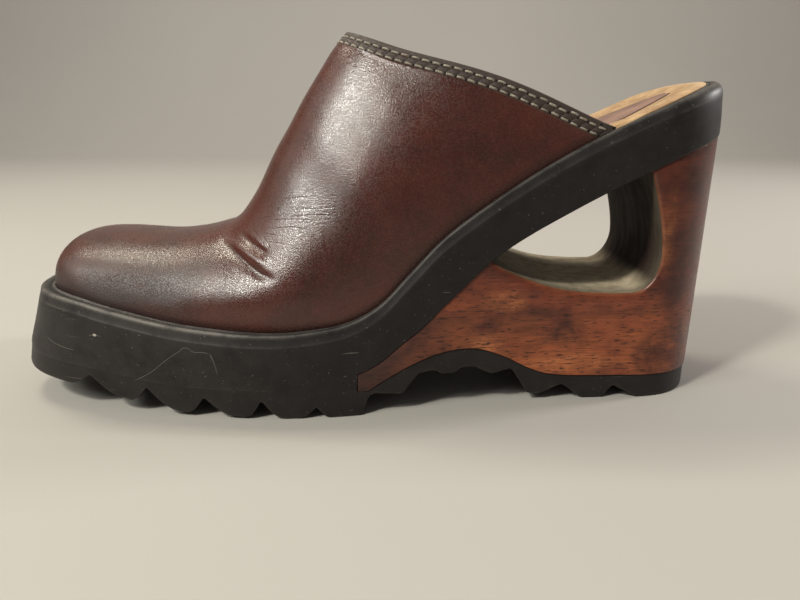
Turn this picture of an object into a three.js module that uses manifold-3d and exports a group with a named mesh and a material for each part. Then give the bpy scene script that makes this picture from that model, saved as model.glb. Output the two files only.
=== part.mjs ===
// A platform clog: a backless leather upper on a lugged rubber platform, whose rubber band climbs to the
// heel seat over a wooden wedge with a see-through window.
// Millimetres. X runs from the toe (negative) to the heel, Y from the outer side (negative) to the inner
// side of a left shoe, and Z up from the floor. The origin is on the floor, under the middle of the shoe.
import * as THREE from "three";
import { mergeVertices } from "three/addons/utils/BufferGeometryUtils.js";
import Module from "manifold-3d";

const wasm = await Module();
wasm.setup();

// Driving dimensions
const LENGTH = 256; // sole, toe to back of heel
const BALL_WIDTH = 95; // sole across the ball
const PLATFORM = 29.5; // ledge above the floor, at the ball
const TOE_LIFT = 11.5; // ledge at the toe above the ledge at the ball
const HEEL_HEIGHT = 112; // rim above the floor, at the back
const UPPER_RISE = 97; // instep peak above the ledge at the ball
const TOE_SPRING = 8.6; // tread at the toe above the floor
const STRIP = 17; // rubber band that climbs to the heel seat
const TREAD = 8.8; // lugged outsole under the wood
const FRONT_TREAD = 9.8; // lugged outsole under the forefoot
const ARCH = 21.5; // wood above the floor, at the waist
const LUG_DEPTH = 6.3; // valleys between the forefoot lugs
const WALL = 2.2; // leather and lining of the upper
const BOW = 2.4; // the topline bows up by this much, low on its side
const TOE_LEAN = 7; // the toe's wall leans back by this much, bottom to rim
const HEEL_LEAN = 1.7; // and the heel's
const BINDING = 6.4; // width of the stitched edge along the topline
const BINDING_STEP = 0.4; // how far that edge stands proud
const BEVEL = 4.3; // height of the bevel under the rim
const BEVEL_INSET = 1.5; // how far the bevel leans in
const RECESS = 3.5; // depth of the tray that holds upper and insole
const CROWN = 1.2; // the insole's soft border stands this far above the ledge
const DISH = 1.5; // and its middle lies this far below the border
const BORDER = 10; // from the insole's edge to its hollow middle
const PAD_WIDTH = 33; // leather pad on the insole
const PAD_THICKNESS = 0.7;
const WOOD_INSET = 0.7; // wood inside the line of the rubber, at the top
const HEEL_TAPER = 2.2; // wood leans in by this much more at the floor
const WINDOW_RADIUS = 9; // round lower corner of the window
const GAP = 0.3; // between pieces that touch

const HALF = BALL_WIDTH / 2;

// A smooth curve through one column of a table, by cubic pieces that share their slopes.
function curve(rows, key, at = "at") {
  const x = rows.map((row) => row[at]);
  const y = rows.map((row) => row[key]);
  const last = x.length - 1;
  const slope = x.map((_, i) => {
    const a = Math.max(i - 1, 0);
    const b = Math.min(i + 1, last);
    return (y[b] - y[a]) / (x[b] - x[a]);
  });
  return (value) => {
    const v = THREE.MathUtils.clamp(value, x[0], x[last]);
    let i = 0;
    while (i < last - 1 && v > x[i + 1]) i += 1;
    const h = x[i + 1] - x[i];
    const t = (v - x[i]) / h;
    const bend = t * t * (3 - 2 * t);
    return (
      y[i] * (1 - bend) + y[i + 1] * bend +
      h * t * (1 - t) * (slope[i] * (1 - t) - slope[i + 1] * t)
    );
  };
}

// Plan of the sole: shares of the length, then centre line and half width as shares of half the ball width
const PLAN = [
  { at: 0.0, centre: 0.12, half: 0.8 },
  { at: 0.08, centre: 0.11, half: 0.86 },
  { at: 0.16, centre: 0.08, half: 0.93 },
  { at: 0.26, centre: 0.03, half: 0.97 },
  { at: 0.36, centre: -0.01, half: 0.985 },
  { at: 0.46, centre: -0.04, half: 0.93 },
  { at: 0.56, centre: -0.05, half: 0.82 },
  { at: 0.66, centre: -0.04, half: 0.735 },
  { at: 0.76, centre: -0.02, half: 0.685 },
  { at: 0.86, centre: 0.0, half: 0.67 },
  { at: 1.0, centre: 0.0, half: 0.66 },
];
const centreLine = curve(PLAN, "centre");
const halfWidth = curve(PLAN, "half");
const TOE_ROUND = { length: 0.128, power: 2.6 };
const HEEL_ROUND = { length: 0.117, power: 2.3 };

// How much of the half width is there, near the round ends
function roundEnd(share, end) {
  if (share >= end.length) return 1;
  const left = 1 - share / end.length;
  return Math.pow(1 - Math.pow(left, end.power), 1 / end.power);
}

const fade = (share, reach) => (share < reach ? (1 - share / reach) ** 2 : 0);

// A point of the sole's outline on one side (-1 outer, 1 inner), moved in from the edge by an inset
function edge(share, side, inset = 0) {
  const x = share * LENGTH + inset * (fade(share, 0.2) - fade(1 - share, 0.2));
  const round = roundEnd(share, TOE_ROUND) * roundEnd(1 - share, HEEL_ROUND);
  const centre = centreLine(share) * HALF;
  return new THREE.Vector2(x, centre + side * (halfWidth(share) * HALF - inset) * round);
}

// Side view: height of the ledge, as shares of the toe's lift and of the climb to the heel
const LEDGE = [
  { at: 0.0, toe: 0.83, climb: 0 },
  { at: 0.05, toe: 0.92, climb: 0 },
  { at: 0.117, toe: 0.82, climb: 0 },
  { at: 0.17, toe: 0.58, climb: 0 },
  { at: 0.25, toe: 0.235, climb: 0 },
  { at: 0.32, toe: 0.07, climb: 0 },
  { at: 0.39, toe: 0.0, climb: 0 },
  { at: 0.44, toe: 0.0, climb: 0.012 },
  { at: 0.49, toe: 0.0, climb: 0.043 },
  { at: 0.53, toe: 0.0, climb: 0.112 },
  { at: 0.57, toe: 0.0, climb: 0.24 },
  { at: 0.61, toe: 0.0, climb: 0.368 },
  { at: 0.66, toe: 0.0, climb: 0.485 },
  { at: 0.73, toe: 0.0, climb: 0.627 },
  { at: 0.8, toe: 0.0, climb: 0.748 },
  { at: 0.88, toe: 0.0, climb: 0.865 },
  { at: 0.94, toe: 0.0, climb: 0.944 },
  { at: 1.0, toe: 0.0, climb: 1.0 },
];
const toeShare = curve(LEDGE, "toe");
const climbShare = curve(LEDGE, "climb");
const ledge = (x) =>
  PLATFORM + TOE_LIFT * toeShare(x / LENGTH) + (HEEL_HEIGHT - PLATFORM) * climbShare(x / LENGTH);

// Thickness of the climbing band, straight down, as a share of STRIP
const BAND = [
  { at: 0.49, deep: 1.1 },
  { at: 0.545, deep: 1.2 },
  { at: 0.59, deep: 1.38 },
  { at: 0.63, deep: 1.33 },
  { at: 0.68, deep: 1.17 },
  { at: 0.78, deep: 1.18 },
  { at: 0.88, deep: 1.14 },
  { at: 1.0, deep: 1.07 },
];
const bandDepth = curve(BAND, "deep");
const bandUnder = (x) => ledge(x) - STRIP * bandDepth(x / LENGTH);

// Underside of the wood, between the tread under the heel and the arch
const WOOD_UNDER = [
  { at: 0.5, up: 0.0 },
  { at: 0.514, up: 0.02 },
  { at: 0.53, up: 0.215 },
  { at: 0.57, up: 0.645 },
  { at: 0.605, up: 0.9 },
  { at: 0.637, up: 1.0 },
  { at: 0.665, up: 0.95 },
  { at: 0.7, up: 0.67 },
  { at: 0.735, up: 0.29 },
  { at: 0.765, up: 0.09 },
  { at: 0.82, up: 0.01 },
  { at: 1.0, up: 0.0 },
];
const archShare = curve(WOOD_UNDER, "up");
const WOOD_TIP = 0.4985; // share of the length where the wood starts

// Toe spring of the tread
const SPRING = [
  { at: 0.0, up: 1.0 },
  { at: 0.08, up: 0.9 },
  { at: 0.13, up: 0.7 },
  { at: 0.18, up: 0.42 },
  { at: 0.23, up: 0.14 },
  { at: 0.27, up: 0.02 },
  { at: 0.3, up: 0.0 },
];
const springShare = curve(SPRING, "up");
const SPRING_AT_SEAM = 0.75; // the seam over the tread follows this much of the spring

// Top of the tread: the seam under the platform, then the wood's underside
function treadTop(x) {
  const share = x / LENGTH;
  if (share < WOOD_TIP) return FRONT_TREAD + SPRING_AT_SEAM * TOE_SPRING * springShare(share);
  return TREAD + (ARCH - TREAD) * archShare(share);
}

// Underside of the rubber platform: the seam, then the band over the wood
const platformUnder = (x) => (x / LENGTH < WOOD_TIP ? treadTop(x) + GAP : bandUnder(x));

// Round forefoot lugs, as shares of the length: each starts at a valley and stands on its crest
const SCALLOPS = [
  { valley: 0.0, from: 0.012, to: 0.1, up: 0.0 },
  { valley: 0.135, from: 0.178, to: 0.19, up: 1.0 },
  { valley: 0.216, from: 0.26, to: 0.27, up: 1.05 },
  { valley: 0.295, from: 0.337, to: 0.352, up: 1.0 },
  { valley: 0.372, from: 0.4, to: 0.422, up: 1.0 },
  { valley: 0.444, from: 0.463, to: 0.505, up: 0.65 },
];
// Straight lugs of waist and heel: the tread's thickness at each corner, as a share of TREAD
const STRAIGHT_LUGS = [
  { at: 0.505, thick: 2 },
  { at: 0.5125, thick: 0.25 },
  { at: 0.522, thick: 0.3 },
  { at: 0.558, thick: 1.03 },
  { at: 0.58, thick: 0.5 },
  { at: 0.603, thick: 0.67 },
  { at: 0.61, thick: 0.88 },
  { at: 0.629, thick: 0.99 },
  { at: 0.64, thick: 0.79 },
  { at: 0.657, thick: 0.78 },
  { at: 0.681, thick: 0.95 },
  { at: 0.709, thick: 0.38 },
  { at: 0.734, thick: 1.12 },
  { at: 0.752, thick: 0.97 },
  { at: 0.783, thick: 0.42 },
  { at: 0.813, thick: 1.1 },
  { at: 0.842, thick: 1.1 },
  { at: 0.857, thick: 0.46 },
  { at: 0.891, thick: 1.1 },
  { at: 0.968, thick: 1.1 },
  { at: 1.0, thick: 0.85 },
];

function scallopUnder(x) {
  const share = x / LENGTH;
  const base = TOE_SPRING * springShare(share);
  const index = SCALLOPS.findLastIndex((lug) => lug.valley <= share);
  const lug = SCALLOPS[Math.max(index, 0)];
  const next = SCALLOPS[index + 1];
  if (share < lug.from) {
    const t = (share - lug.valley) / (lug.from - lug.valley);
    return base + LUG_DEPTH * lug.up * (1 - Math.sin((t * Math.PI) / 2));
  }
  if (share <= lug.to || !next) return base;
  const t = (share - lug.to) / (next.valley - lug.to);
  return base + LUG_DEPTH * next.up * (1 - Math.cos((t * Math.PI) / 2));
}

function straightUnder(x) {
  const share = x / LENGTH;
  const height = (row) => Math.max(0, treadTop(row.at * LENGTH) - TREAD * row.thick);
  const i = STRAIGHT_LUGS.findLastIndex((row) => row.at <= share);
  const a = STRAIGHT_LUGS[i];
  const b = STRAIGHT_LUGS[Math.min(i + 1, STRAIGHT_LUGS.length - 1)];
  const t = b === a ? 0 : (share - a.at) / (b.at - a.at);
  return THREE.MathUtils.lerp(height(a), height(b), t);
}

const treadUnder = (x) =>
  x / LENGTH < STRAIGHT_LUGS[0].at ? scallopUnder(x) : straightUnder(x);

// Width of the rim around the tray, in millimetres, along the sole
const RIM = [
  { at: 0.0, wide: 4.6 },
  { at: 0.2, wide: 4.4 },
  { at: 0.4, wide: 3.4 },
  { at: 0.6, wide: 2.2 },
  { at: 0.85, wide: 2.0 },
  { at: 0.95, wide: 3.0 },
  { at: 1.0, wide: 4.2 },
];
const rimWidth = curve(RIM, "wide");
const lean = (share) => TOE_LEAN * fade(share, 0.17) + HEEL_LEAN * fade(1 - share, 0.12);
const rimOuter = (share) => BEVEL_INSET + lean(share);
const trayEdge = (share) => rimOuter(share) + rimWidth(share);

// Stations along the sole, closer together at the round ends, with every corner of a profile among them
function stations(count, corners = []) {
  const even = Array.from({ length: count + 1 }, (_, i) => (1 - Math.cos((i * Math.PI) / count)) / 2);
  const all = [...even, ...corners].sort((a, b) => a - b);
  return all.filter((share, i) => i === 0 || share - all[i - 1] > 0.0009);
}

// One closed loop round the sole: toe tip, outer side, heel tip, inner side
function loop(shares, inset, height) {
  const at = (share, side) => {
    const p = edge(share, side, inset(share));
    return new THREE.Vector3(p.x, p.y, height(p.x, share));
  };
  const outer = shares.map((share) => at(share, -1));
  const inner = shares.slice(1, -1).map((share) => at(share, 1));
  return [...outer, ...inner.reverse()];
}

// Collects triangles and hands over one merged, closed geometry
class Skin {
  constructor() {
    this.points = [];
  }
  triangle(a, b, c) {
    this.points.push(a, b, c);
  }
  quad(a, b, c, d) {
    this.triangle(a, b, c);
    this.triangle(a, c, d);
  }
  geometry() {
    const raw = new THREE.BufferGeometry().setFromPoints(this.points);
    return mergeVertices(raw, 1e-4);
  }
}

// A solid from loops stacked upwards, each cap bridged from side to side
function stack(loops) {
  const skin = new Skin();
  const n = loops[0].length;
  loops.slice(1).forEach((above, k) => {
    const below = loops[k];
    for (let i = 0; i < n; i += 1) {
      const j = (i + 1) % n;
      skin.quad(below[i], below[j], above[j], above[i]);
    }
  });
  const cap = (ring, up) => {
    for (let i = 0; i < n / 2; i += 1) {
      const a = ring[i];
      const b = ring[i + 1];
      const c = ring[(n - i - 1) % n];
      const d = ring[(n - i) % n];
      if (up) skin.quad(a, b, c, d);
      else skin.quad(a, d, c, b);
    }
  };
  cap(loops[0], false);
  cap(loops[loops.length - 1], true);
  return skin.geometry();
}

// Triangles with no area, left where a loop closes on its tip, are dropped on the way to a solid.
function solid(geometry) {
  const plain = geometry.clone();
  plain.deleteAttribute("normal");
  plain.deleteAttribute("uv");
  const merged = mergeVertices(plain, 1e-3);
  const corner = merged.index.array;
  const kept = [];
  for (let i = 0; i < corner.length; i += 3) {
    const [a, b, c] = corner.slice(i, i + 3);
    if (a !== b && b !== c && c !== a) kept.push(a, b, c);
  }
  return new wasm.Manifold(
    new wasm.Mesh({
      numProp: 3,
      vertProperties: merged.attributes.position.array,
      triVerts: new Uint32Array(kept),
    }),
  );
}

function geometryOf(manifold) {
  const mesh = manifold.getMesh();
  const position = new THREE.BufferAttribute(new Float32Array(mesh.vertProperties), mesh.numProp);
  const geometry = new THREE.BufferGeometry().setAttribute("position", position);
  geometry.setIndex(new THREE.BufferAttribute(mesh.triVerts, 1));
  geometry.computeVertexNormals();
  return geometry;
}

// A side view drawn in X and Z, pushed across the whole width of the shoe
function across(points) {
  const shape = new THREE.Shape(points.map(([x, z]) => new THREE.Vector2(x, z)));
  const geometry = new THREE.ExtrudeGeometry(shape, {
    depth: 2 * BALL_WIDTH,
    bevelEnabled: false,
    steps: 1,
  });
  geometry.rotateX(Math.PI / 2);
  geometry.translate(0, BALL_WIDTH, 0);
  return solid(geometry);
}

const sample = (from, to, count) =>
  Array.from({ length: count + 1 }, (_, i) => from + ((to - from) * i) / count);

// Outsole: one rubber tread from toe to heel
function outsole() {
  const corners = [
    ...SCALLOPS.flatMap((lug) => [lug.valley, lug.from, lug.to]),
    ...SCALLOPS.slice(1).map((lug) => lug.valley - 0.008),
    ...STRAIGHT_LUGS.map((row) => row.at),
    WOOD_TIP,
  ];
  const shares = stations(84, corners);
  const edgeRound = 2.4;
  const taper = (share) => 0.8 + HEEL_TAPER * THREE.MathUtils.smoothstep(share, 0.5, 0.8);
  const under = (x) => treadUnder(x);
  const shoulder = (x) => Math.min(under(x) + edgeRound, treadTop(x) - 2 * GAP);
  const body = solid(
    stack([
      loop(shares, (s) => taper(s) + 1.6, under),
      loop(shares, taper, shoulder),
      loop(shares, taper, treadTop),
    ]),
  );
  return body;
}

// Platform: the rubber block under the forefoot and the band up to the heel seat, with a tray on top
function platform() {
  const shares = stations(64, [WOOD_TIP - 0.001, WOOD_TIP]);
  const low = (share) => 0.5 + 0.3 * THREE.MathUtils.smoothstep(share, 0.5, 0.8);
  return solid(
    stack([
      loop(shares, low, (x, share) => (share < WOOD_TIP ? treadTop(x) + GAP : bandUnder(x) + GAP)),
      loop(shares, lean, (x) => ledge(x) - BEVEL),
      loop(shares, rimOuter, ledge),
      loop(shares, trayEdge, ledge),
      loop(shares, trayEdge, (x) => ledge(x) - RECESS),
    ]),
  );
}

// Wedge: one block of wood, arched underneath, with the see-through window under the band. The window's
// floor is given as shares of HEEL_HEIGHT, above shares of the length.
const WINDOW_FLOOR = [
  { at: 0.6695, up: 0.47 },
  { at: 0.7, up: 0.43 },
  { at: 0.745, up: 0.387 },
  { at: 0.79, up: 0.3625 },
  { at: 0.84, up: 0.3535 },
];
const WINDOW_BACK = 0.907;
const WINDOW_TOP_BACK = 0.879;

function wedge() {
  const under = sample(0.5145, 1.02, 40).map((share) => [
    share * LENGTH,
    treadTop(Math.min(share, 1) * LENGTH) + GAP,
  ]);
  const over = sample(WOOD_TIP + 0.0012, 1.02, 44)
    .reverse()
    .map((share) => [share * LENGTH, bandUnder(Math.min(share, 1) * LENGTH)]);
  const tipZ = bandUnder(WOOD_TIP * LENGTH);
  const tip = [
    [(WOOD_TIP + 0.0012) * LENGTH, THREE.MathUtils.lerp(tipZ, TREAD, 0.5)],
    [(WOOD_TIP + 0.007) * LENGTH, THREE.MathUtils.lerp(tipZ, TREAD, 0.85)],
  ];
  const profile = across([...under, ...over, ...tip]);
  const shares = stations(56);
  const tall = HEEL_HEIGHT * 1.2;
  const body = solid(
    stack([
      loop(shares, () => WOOD_INSET + HEEL_TAPER, () => -GAP),
      loop(shares, () => WOOD_INSET, () => tall),
    ]),
  );
  return profile.intersect(body).subtract(across(windowOutline()));
}

// The window: a low curved floor, a round corner, and a nearly upright back
function windowOutline() {
  const floor = curve(WINDOW_FLOOR, "up");
  const floorEnd = WINDOW_FLOOR[WINDOW_FLOOR.length - 1].at;
  const points = sample(WINDOW_FLOOR[0].at, floorEnd, 14).map((share) => [
    share * LENGTH,
    floor(share) * HEEL_HEIGHT,
  ]);
  const back = WINDOW_BACK * LENGTH;
  const floorZ = floor(floorEnd) * HEEL_HEIGHT;
  const cornerX = back - WINDOW_RADIUS * 1.15;
  sample(-90, 0, 8).forEach((degrees) => {
    const a = THREE.MathUtils.degToRad(degrees);
    points.push([
      cornerX + WINDOW_RADIUS * 1.15 * Math.cos(a),
      floorZ + WINDOW_RADIUS * 1.4 * (1 + Math.sin(a)),
    ]);
  });
  const topBack = WINDOW_TOP_BACK * LENGTH;
  const low = floorZ + WINDOW_RADIUS * 1.4;
  const high = bandUnder(topBack);
  sample(0.15, 1, 6).forEach((t) => {
    const swing = Math.pow(t, 1.6);
    points.push([THREE.MathUtils.lerp(back, topBack, swing), THREE.MathUtils.lerp(low, high, t)]);
  });
  points.push([topBack, high + STRIP]);
  points.push([WINDOW_FLOOR[0].at * LENGTH, high + STRIP]);
  return points;
}

// Upper: sections from the toe tip to the topline. Each starts at a foot on the ledge, as a share of the
// length, and peaks at a ridge point, as shares of the length and of UPPER_RISE above the platform.
const SECTIONS = [
  { foot: 0.0, ridge: 0.0523, rise: 0.11, round: 2.2, bulge: 0.0, bow: 0 },
  { foot: 0.008, ridge: 0.0543, rise: 0.139, round: 2.2, bulge: 0.01, bow: 0 },
  { foot: 0.022, ridge: 0.0594, rise: 0.174, round: 2.2, bulge: 0.02, bow: 0 },
  { foot: 0.045, ridge: 0.068, rise: 0.215, round: 2.2, bulge: 0.03, bow: 0 },
  { foot: 0.075, ridge: 0.083, rise: 0.253, round: 2.2, bulge: 0.03, bow: 0 },
  { foot: 0.108, ridge: 0.1035, rise: 0.274, round: 2.2, bulge: 0.03, bow: 0 },
  { foot: 0.14, ridge: 0.129, rise: 0.28, round: 2.2, bulge: 0.03, bow: 0 },
  { foot: 0.175, ridge: 0.156, rise: 0.28, round: 2.2, bulge: 0.03, bow: 0 },
  { foot: 0.212, ridge: 0.19, rise: 0.278, round: 2.2, bulge: 0.03, bow: 0 },
  { foot: 0.252, ridge: 0.227, rise: 0.281, round: 2.2, bulge: 0.03, bow: 0 },
  { foot: 0.298, ridge: 0.262, rise: 0.292, round: 2.2, bulge: 0.035, bow: 0 },
  { foot: 0.345, ridge: 0.294, rise: 0.316, round: 2.2, bulge: 0.04, bow: 0 },
  { foot: 0.388, ridge: 0.32, rise: 0.346, round: 2.15, bulge: 0.045, bow: 0 },
  { foot: 0.43, ridge: 0.341, rise: 0.412, round: 2.1, bulge: 0.05, bow: 0 },
  { foot: 0.475, ridge: 0.366, rise: 0.53, round: 2.1, bulge: 0.05, bow: 0 },
  { foot: 0.525, ridge: 0.392, rise: 0.65, round: 2.1, bulge: 0.05, bow: 0 },
  { foot: 0.58, ridge: 0.418, rise: 0.765, round: 2.15, bulge: 0.045, bow: 0.2 },
  { foot: 0.65, ridge: 0.442, rise: 0.865, round: 2.2, bulge: 0.035, bow: 0.5 },
  { foot: 0.735, ridge: 0.463, rise: 0.945, round: 2.25, bulge: 0.025, bow: 0.8 },
  { foot: 0.828, ridge: 0.481, rise: 1.0, round: 2.3, bulge: 0.015, bow: 1.0 },
];
SECTIONS.forEach((row, i) => {
  row.at = i / (SECTIONS.length - 1);
});
const section = Object.fromEntries(
  ["foot", "ridge", "rise", "round", "bulge", "bow"].map((key) => [key, curve(SECTIONS, key)]),
);

const upperInset = (share) => trayEdge(share) + GAP;

// A point of the upper's outer face: station from toe (0) to topline (1), angle from foot over ridge to foot
function upperPoint(station, angle) {
  const foot = section.foot(station);
  const outer = edge(foot, -1, upperInset(foot));
  const inner = edge(foot, 1, upperInset(foot));
  const half = (inner.y - outer.y) / 2;
  const base = new THREE.Vector3(outer.x, (inner.y + outer.y) / 2, ledge(outer.x) + GAP);
  const tip = Math.max(section.ridge(station) * LENGTH, upperInset(0));
  const ridge = new THREE.Vector3(tip, base.y, PLATFORM + UPPER_RISE * section.rise(station));
  if (station === 0) return base;
  const power = 2 / section.round(station);
  const along = Math.pow(Math.abs(Math.cos(angle)), power) * Math.sign(Math.cos(angle));
  const up = Math.pow(Math.sin(angle), power);
  const bulge = 1 + section.bulge(station) * Math.sin(Math.min(up * 1.6, 1) * Math.PI);
  const point = base.clone().lerp(ridge, up);
  point.y = base.y - half * along * bulge;
  point.z += BOW * section.bow(station) * Math.sin(Math.min(up / 0.78, 1) * Math.PI);
  return point;
}

// Where the stitched edge starts, at each angle: the station that lies BINDING from the topline
function bindingStart(angle) {
  const topline = sample(0.02, Math.PI - 0.02, 60).map((a) => upperPoint(1, a));
  const far = (station) => {
    const p = upperPoint(station, angle);
    return Math.min(...topline.map((q) => q.distanceTo(p)));
  };
  let low = 0.6;
  let high = 1;
  for (let i = 0; i < 24; i += 1) {
    const middle = (low + high) / 2;
    if (far(middle) > BINDING) low = middle;
    else high = middle;
  }
  return (low + high) / 2;
}

function upperNormal(station, angle) {
  const step = 0.004;
  const s0 = Math.max(station - step, 0.002);
  const s1 = Math.min(station + step, 1);
  const a0 = Math.max(angle - 0.03, 0.001);
  const a1 = Math.min(angle + 0.03, Math.PI - 0.001);
  const alongStation = upperPoint(s1, angle).sub(upperPoint(s0, angle));
  const alongAngle = upperPoint(station, a1).sub(upperPoint(station, a0));
  return alongStation.cross(alongAngle).normalize();
}

function upper() {
  const angles = sample(0, 1, 34).map((t) => {
    const eased = t - 0.05 * Math.sin(4 * Math.PI * t);
    return Math.PI * eased;
  });
  const stationsUp = sample(0, 1, 36);
  const start = angles.map(bindingStart);
  // The last rows: foot of the step, top of the step, topline
  const rows = [
    ...stationsUp.map((t) => ({ at: (j) => t * start[j], proud: 0 })),
    { at: (j) => THREE.MathUtils.lerp(start[j], 1, 0.06), proud: BINDING_STEP },
    { at: () => 1, proud: BINDING_STEP },
  ];
  const outside = rows.map((row) =>
    angles.map((angle, j) => {
      const station = row.at(j);
      const p = upperPoint(station, angle);
      const edgeOn = j === 0 || j === angles.length - 1;
      if (station > 0 && row.proud && !edgeOn) p.addScaledVector(upperNormal(station, angle), row.proud);
      return p;
    }),
  );
  const inside = rows.map((row) =>
    angles.map((angle, j) => {
      const station = row.at(j);
      const p = upperPoint(station, angle);
      if (station === 0) return p.add(new THREE.Vector3(WALL, 0, 0));
      const inward = upperNormal(station, angle).multiplyScalar(-WALL);
      if (j === 0 || j === angles.length - 1) {
        const flat = new THREE.Vector2(inward.x, inward.y).setLength(WALL);
        return p.add(new THREE.Vector3(flat.x, flat.y, 0));
      }
      return p.add(inward);
    }),
  );
  return solid(shell(outside, inside));
}

// A skirt under the foot line stands in the tray; outer and inner faces are joined there and at the topline
function shell(outside, inside) {
  const skin = new Skin();
  const skirt = (p) => new THREE.Vector3(p.x, p.y, ledge(p.x) - RECESS + 2 * GAP);
  const wide = (grid) => grid.map((row) => [skirt(row[0]), ...row, skirt(row[row.length - 1])]);
  const out = wide(outside);
  const into = wide(inside);
  const last = out[0].length - 1;
  for (let i = 0; i < out.length - 1; i += 1) {
    for (let j = 0; j < last; j += 1) {
      skin.quad(out[i][j], out[i + 1][j], out[i + 1][j + 1], out[i][j + 1]);
      skin.quad(into[i][j], into[i][j + 1], into[i + 1][j + 1], into[i + 1][j]);
    }
    skin.quad(out[i][0], into[i][0], into[i + 1][0], out[i + 1][0]);
    skin.quad(out[i][last], out[i + 1][last], into[i + 1][last], into[i][last]);
  }
  const top = out.length - 1;
  for (let j = 0; j < last; j += 1) {
    skin.quad(out[top][j], into[top][j], into[top][j + 1], out[top][j + 1]);
  }
  return skin.geometry();
}

// Insole: inside the upper as far as the topline's foot, then out to the rim round the heel
const TOPLINE_FOOT = SECTIONS[SECTIONS.length - 1].foot;
const insoleInset = (share) => {
  const free = THREE.MathUtils.smoothstep(share, TOPLINE_FOOT + 0.004, TOPLINE_FOOT + 0.03);
  return trayEdge(share) + GAP + (1 - free) * (WALL + 2 * GAP + 0.4);
};
const insoleTop = (x) => ledge(x) + CROWN;

function insole() {
  const shares = stations(56, [TOPLINE_FOOT]);
  const body = solid(
    stack([
      loop(shares, insoleInset, (x) => ledge(x) - RECESS + GAP),
      loop(shares, insoleInset, (x) => insoleTop(x) - 0.8 * CROWN),
      loop(shares, (s) => insoleInset(s) + 0.12 * BORDER, (x) => insoleTop(x) - 0.25 * CROWN),
      loop(shares, (s) => insoleInset(s) + 0.4 * BORDER, insoleTop),
      loop(shares, (s) => insoleInset(s) + BORDER, (x) => insoleTop(x) - DISH),
    ]),
  );
  return body.subtract(pad(GAP));
}

// Heel pad: smooth leather let into the insole, round in front and drawn to a narrow tip behind
const PAD = [
  { at: 0.62, half: 0.0 },
  { at: 0.622, half: 0.3 },
  { at: 0.63, half: 0.62 },
  { at: 0.65, half: 0.86 },
  { at: 0.69, half: 1.0 },
  { at: 0.79, half: 1.0 },
  { at: 0.85, half: 0.86 },
  { at: 0.895, half: 0.58 },
  { at: 0.925, half: 0.3 },
  { at: 0.936, half: 0.14 },
  { at: 0.939, half: 0.0 },
];
function pad(clearance) {
  const side = (row, sign, lift) => {
    const outward = Math.sign(row.at - 0.8) * clearance * (1 - row.half);
    const x = row.at * LENGTH + outward;
    const half = row.half > 0 ? row.half * (PAD_WIDTH / 2) + clearance : 0;
    return new THREE.Vector3(x, centreLine(row.at) * HALF + sign * half, insoleTop(x) - DISH + lift);
  };
  const rings = [-PAD_THICKNESS - clearance, clearance > 0 ? RECESS : 0].map((lift) => [
    ...PAD.map((row) => side(row, -1, lift)),
    ...PAD.slice(1, -1).reverse().map((row) => side(row, 1, lift)),
  ]);
  return solid(stack(rings));
}

// Colours and surfaces
const brownLeather = new THREE.MeshStandardMaterial({ color: 0x4a2a20, roughness: 0.38, metalness: 0 });
const blackRubber = new THREE.MeshStandardMaterial({ color: 0x2b2a29, roughness: 0.62, metalness: 0 });
const treadRubber = new THREE.MeshStandardMaterial({ color: 0x2e2c2b, roughness: 0.75, metalness: 0 });
const stainedWood = new THREE.MeshStandardMaterial({ color: 0x6e3a20, roughness: 0.42, metalness: 0 });
const tanSuede = new THREE.MeshStandardMaterial({ color: 0xb98450, roughness: 0.92, metalness: 0 });
const padLeather = new THREE.MeshStandardMaterial({ color: 0x6f5048, roughness: 0.5, metalness: 0 });

const shoe = new THREE.Group();
const pieces = [
  ["outsole", outsole(), treadRubber],
  ["platform", platform(), blackRubber],
  ["wedge_heel", wedge(), stainedWood],
  ["upper", upper(), brownLeather],
  ["insole", insole(), tanSuede],
  ["heel_pad", pad(0), padLeather],
];
for (const [name, body, material] of pieces) {
  const mesh = new THREE.Mesh(geometryOf(body), material);
  mesh.name = name;
  mesh.position.x = -LENGTH / 2;
  shoe.add(mesh);
}

export default shoe;
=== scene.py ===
# %% [markdown]
# # A platform clog in leather, rubber and wood
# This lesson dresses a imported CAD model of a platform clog. The shoe has a smooth chestnut leather upper
# with no back, a black rubber platform whose band climbs to the heel seat, a stained wooden wedge with an
# open window, a lugged tread and a tan suede footbed. Almost every surface of a shoe follows one plan
# outline and one side profile, so the script first writes those two down as short tables, and each piece
# is then a few rows that follow them. Lengths are in millimetres and turn into metres when a mesh is made.
import math

import bmesh
import bpy
import numpy as np
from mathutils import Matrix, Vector
from mathutils.geometry import delaunay_2d_cdt


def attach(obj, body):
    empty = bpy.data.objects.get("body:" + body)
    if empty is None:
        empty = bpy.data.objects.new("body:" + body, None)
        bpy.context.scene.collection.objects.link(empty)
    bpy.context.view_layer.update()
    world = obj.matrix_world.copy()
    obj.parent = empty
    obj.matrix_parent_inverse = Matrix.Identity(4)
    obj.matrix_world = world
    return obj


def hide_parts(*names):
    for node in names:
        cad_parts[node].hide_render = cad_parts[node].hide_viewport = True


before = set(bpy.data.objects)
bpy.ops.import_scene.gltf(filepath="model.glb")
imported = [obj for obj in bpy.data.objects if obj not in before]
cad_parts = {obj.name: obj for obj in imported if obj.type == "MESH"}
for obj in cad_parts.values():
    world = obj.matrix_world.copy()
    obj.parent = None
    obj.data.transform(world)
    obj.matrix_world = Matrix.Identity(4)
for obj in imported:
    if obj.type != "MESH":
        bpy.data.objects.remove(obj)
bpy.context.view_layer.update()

MM = 0.001
print("nodes:", ", ".join(sorted(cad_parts)))

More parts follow.
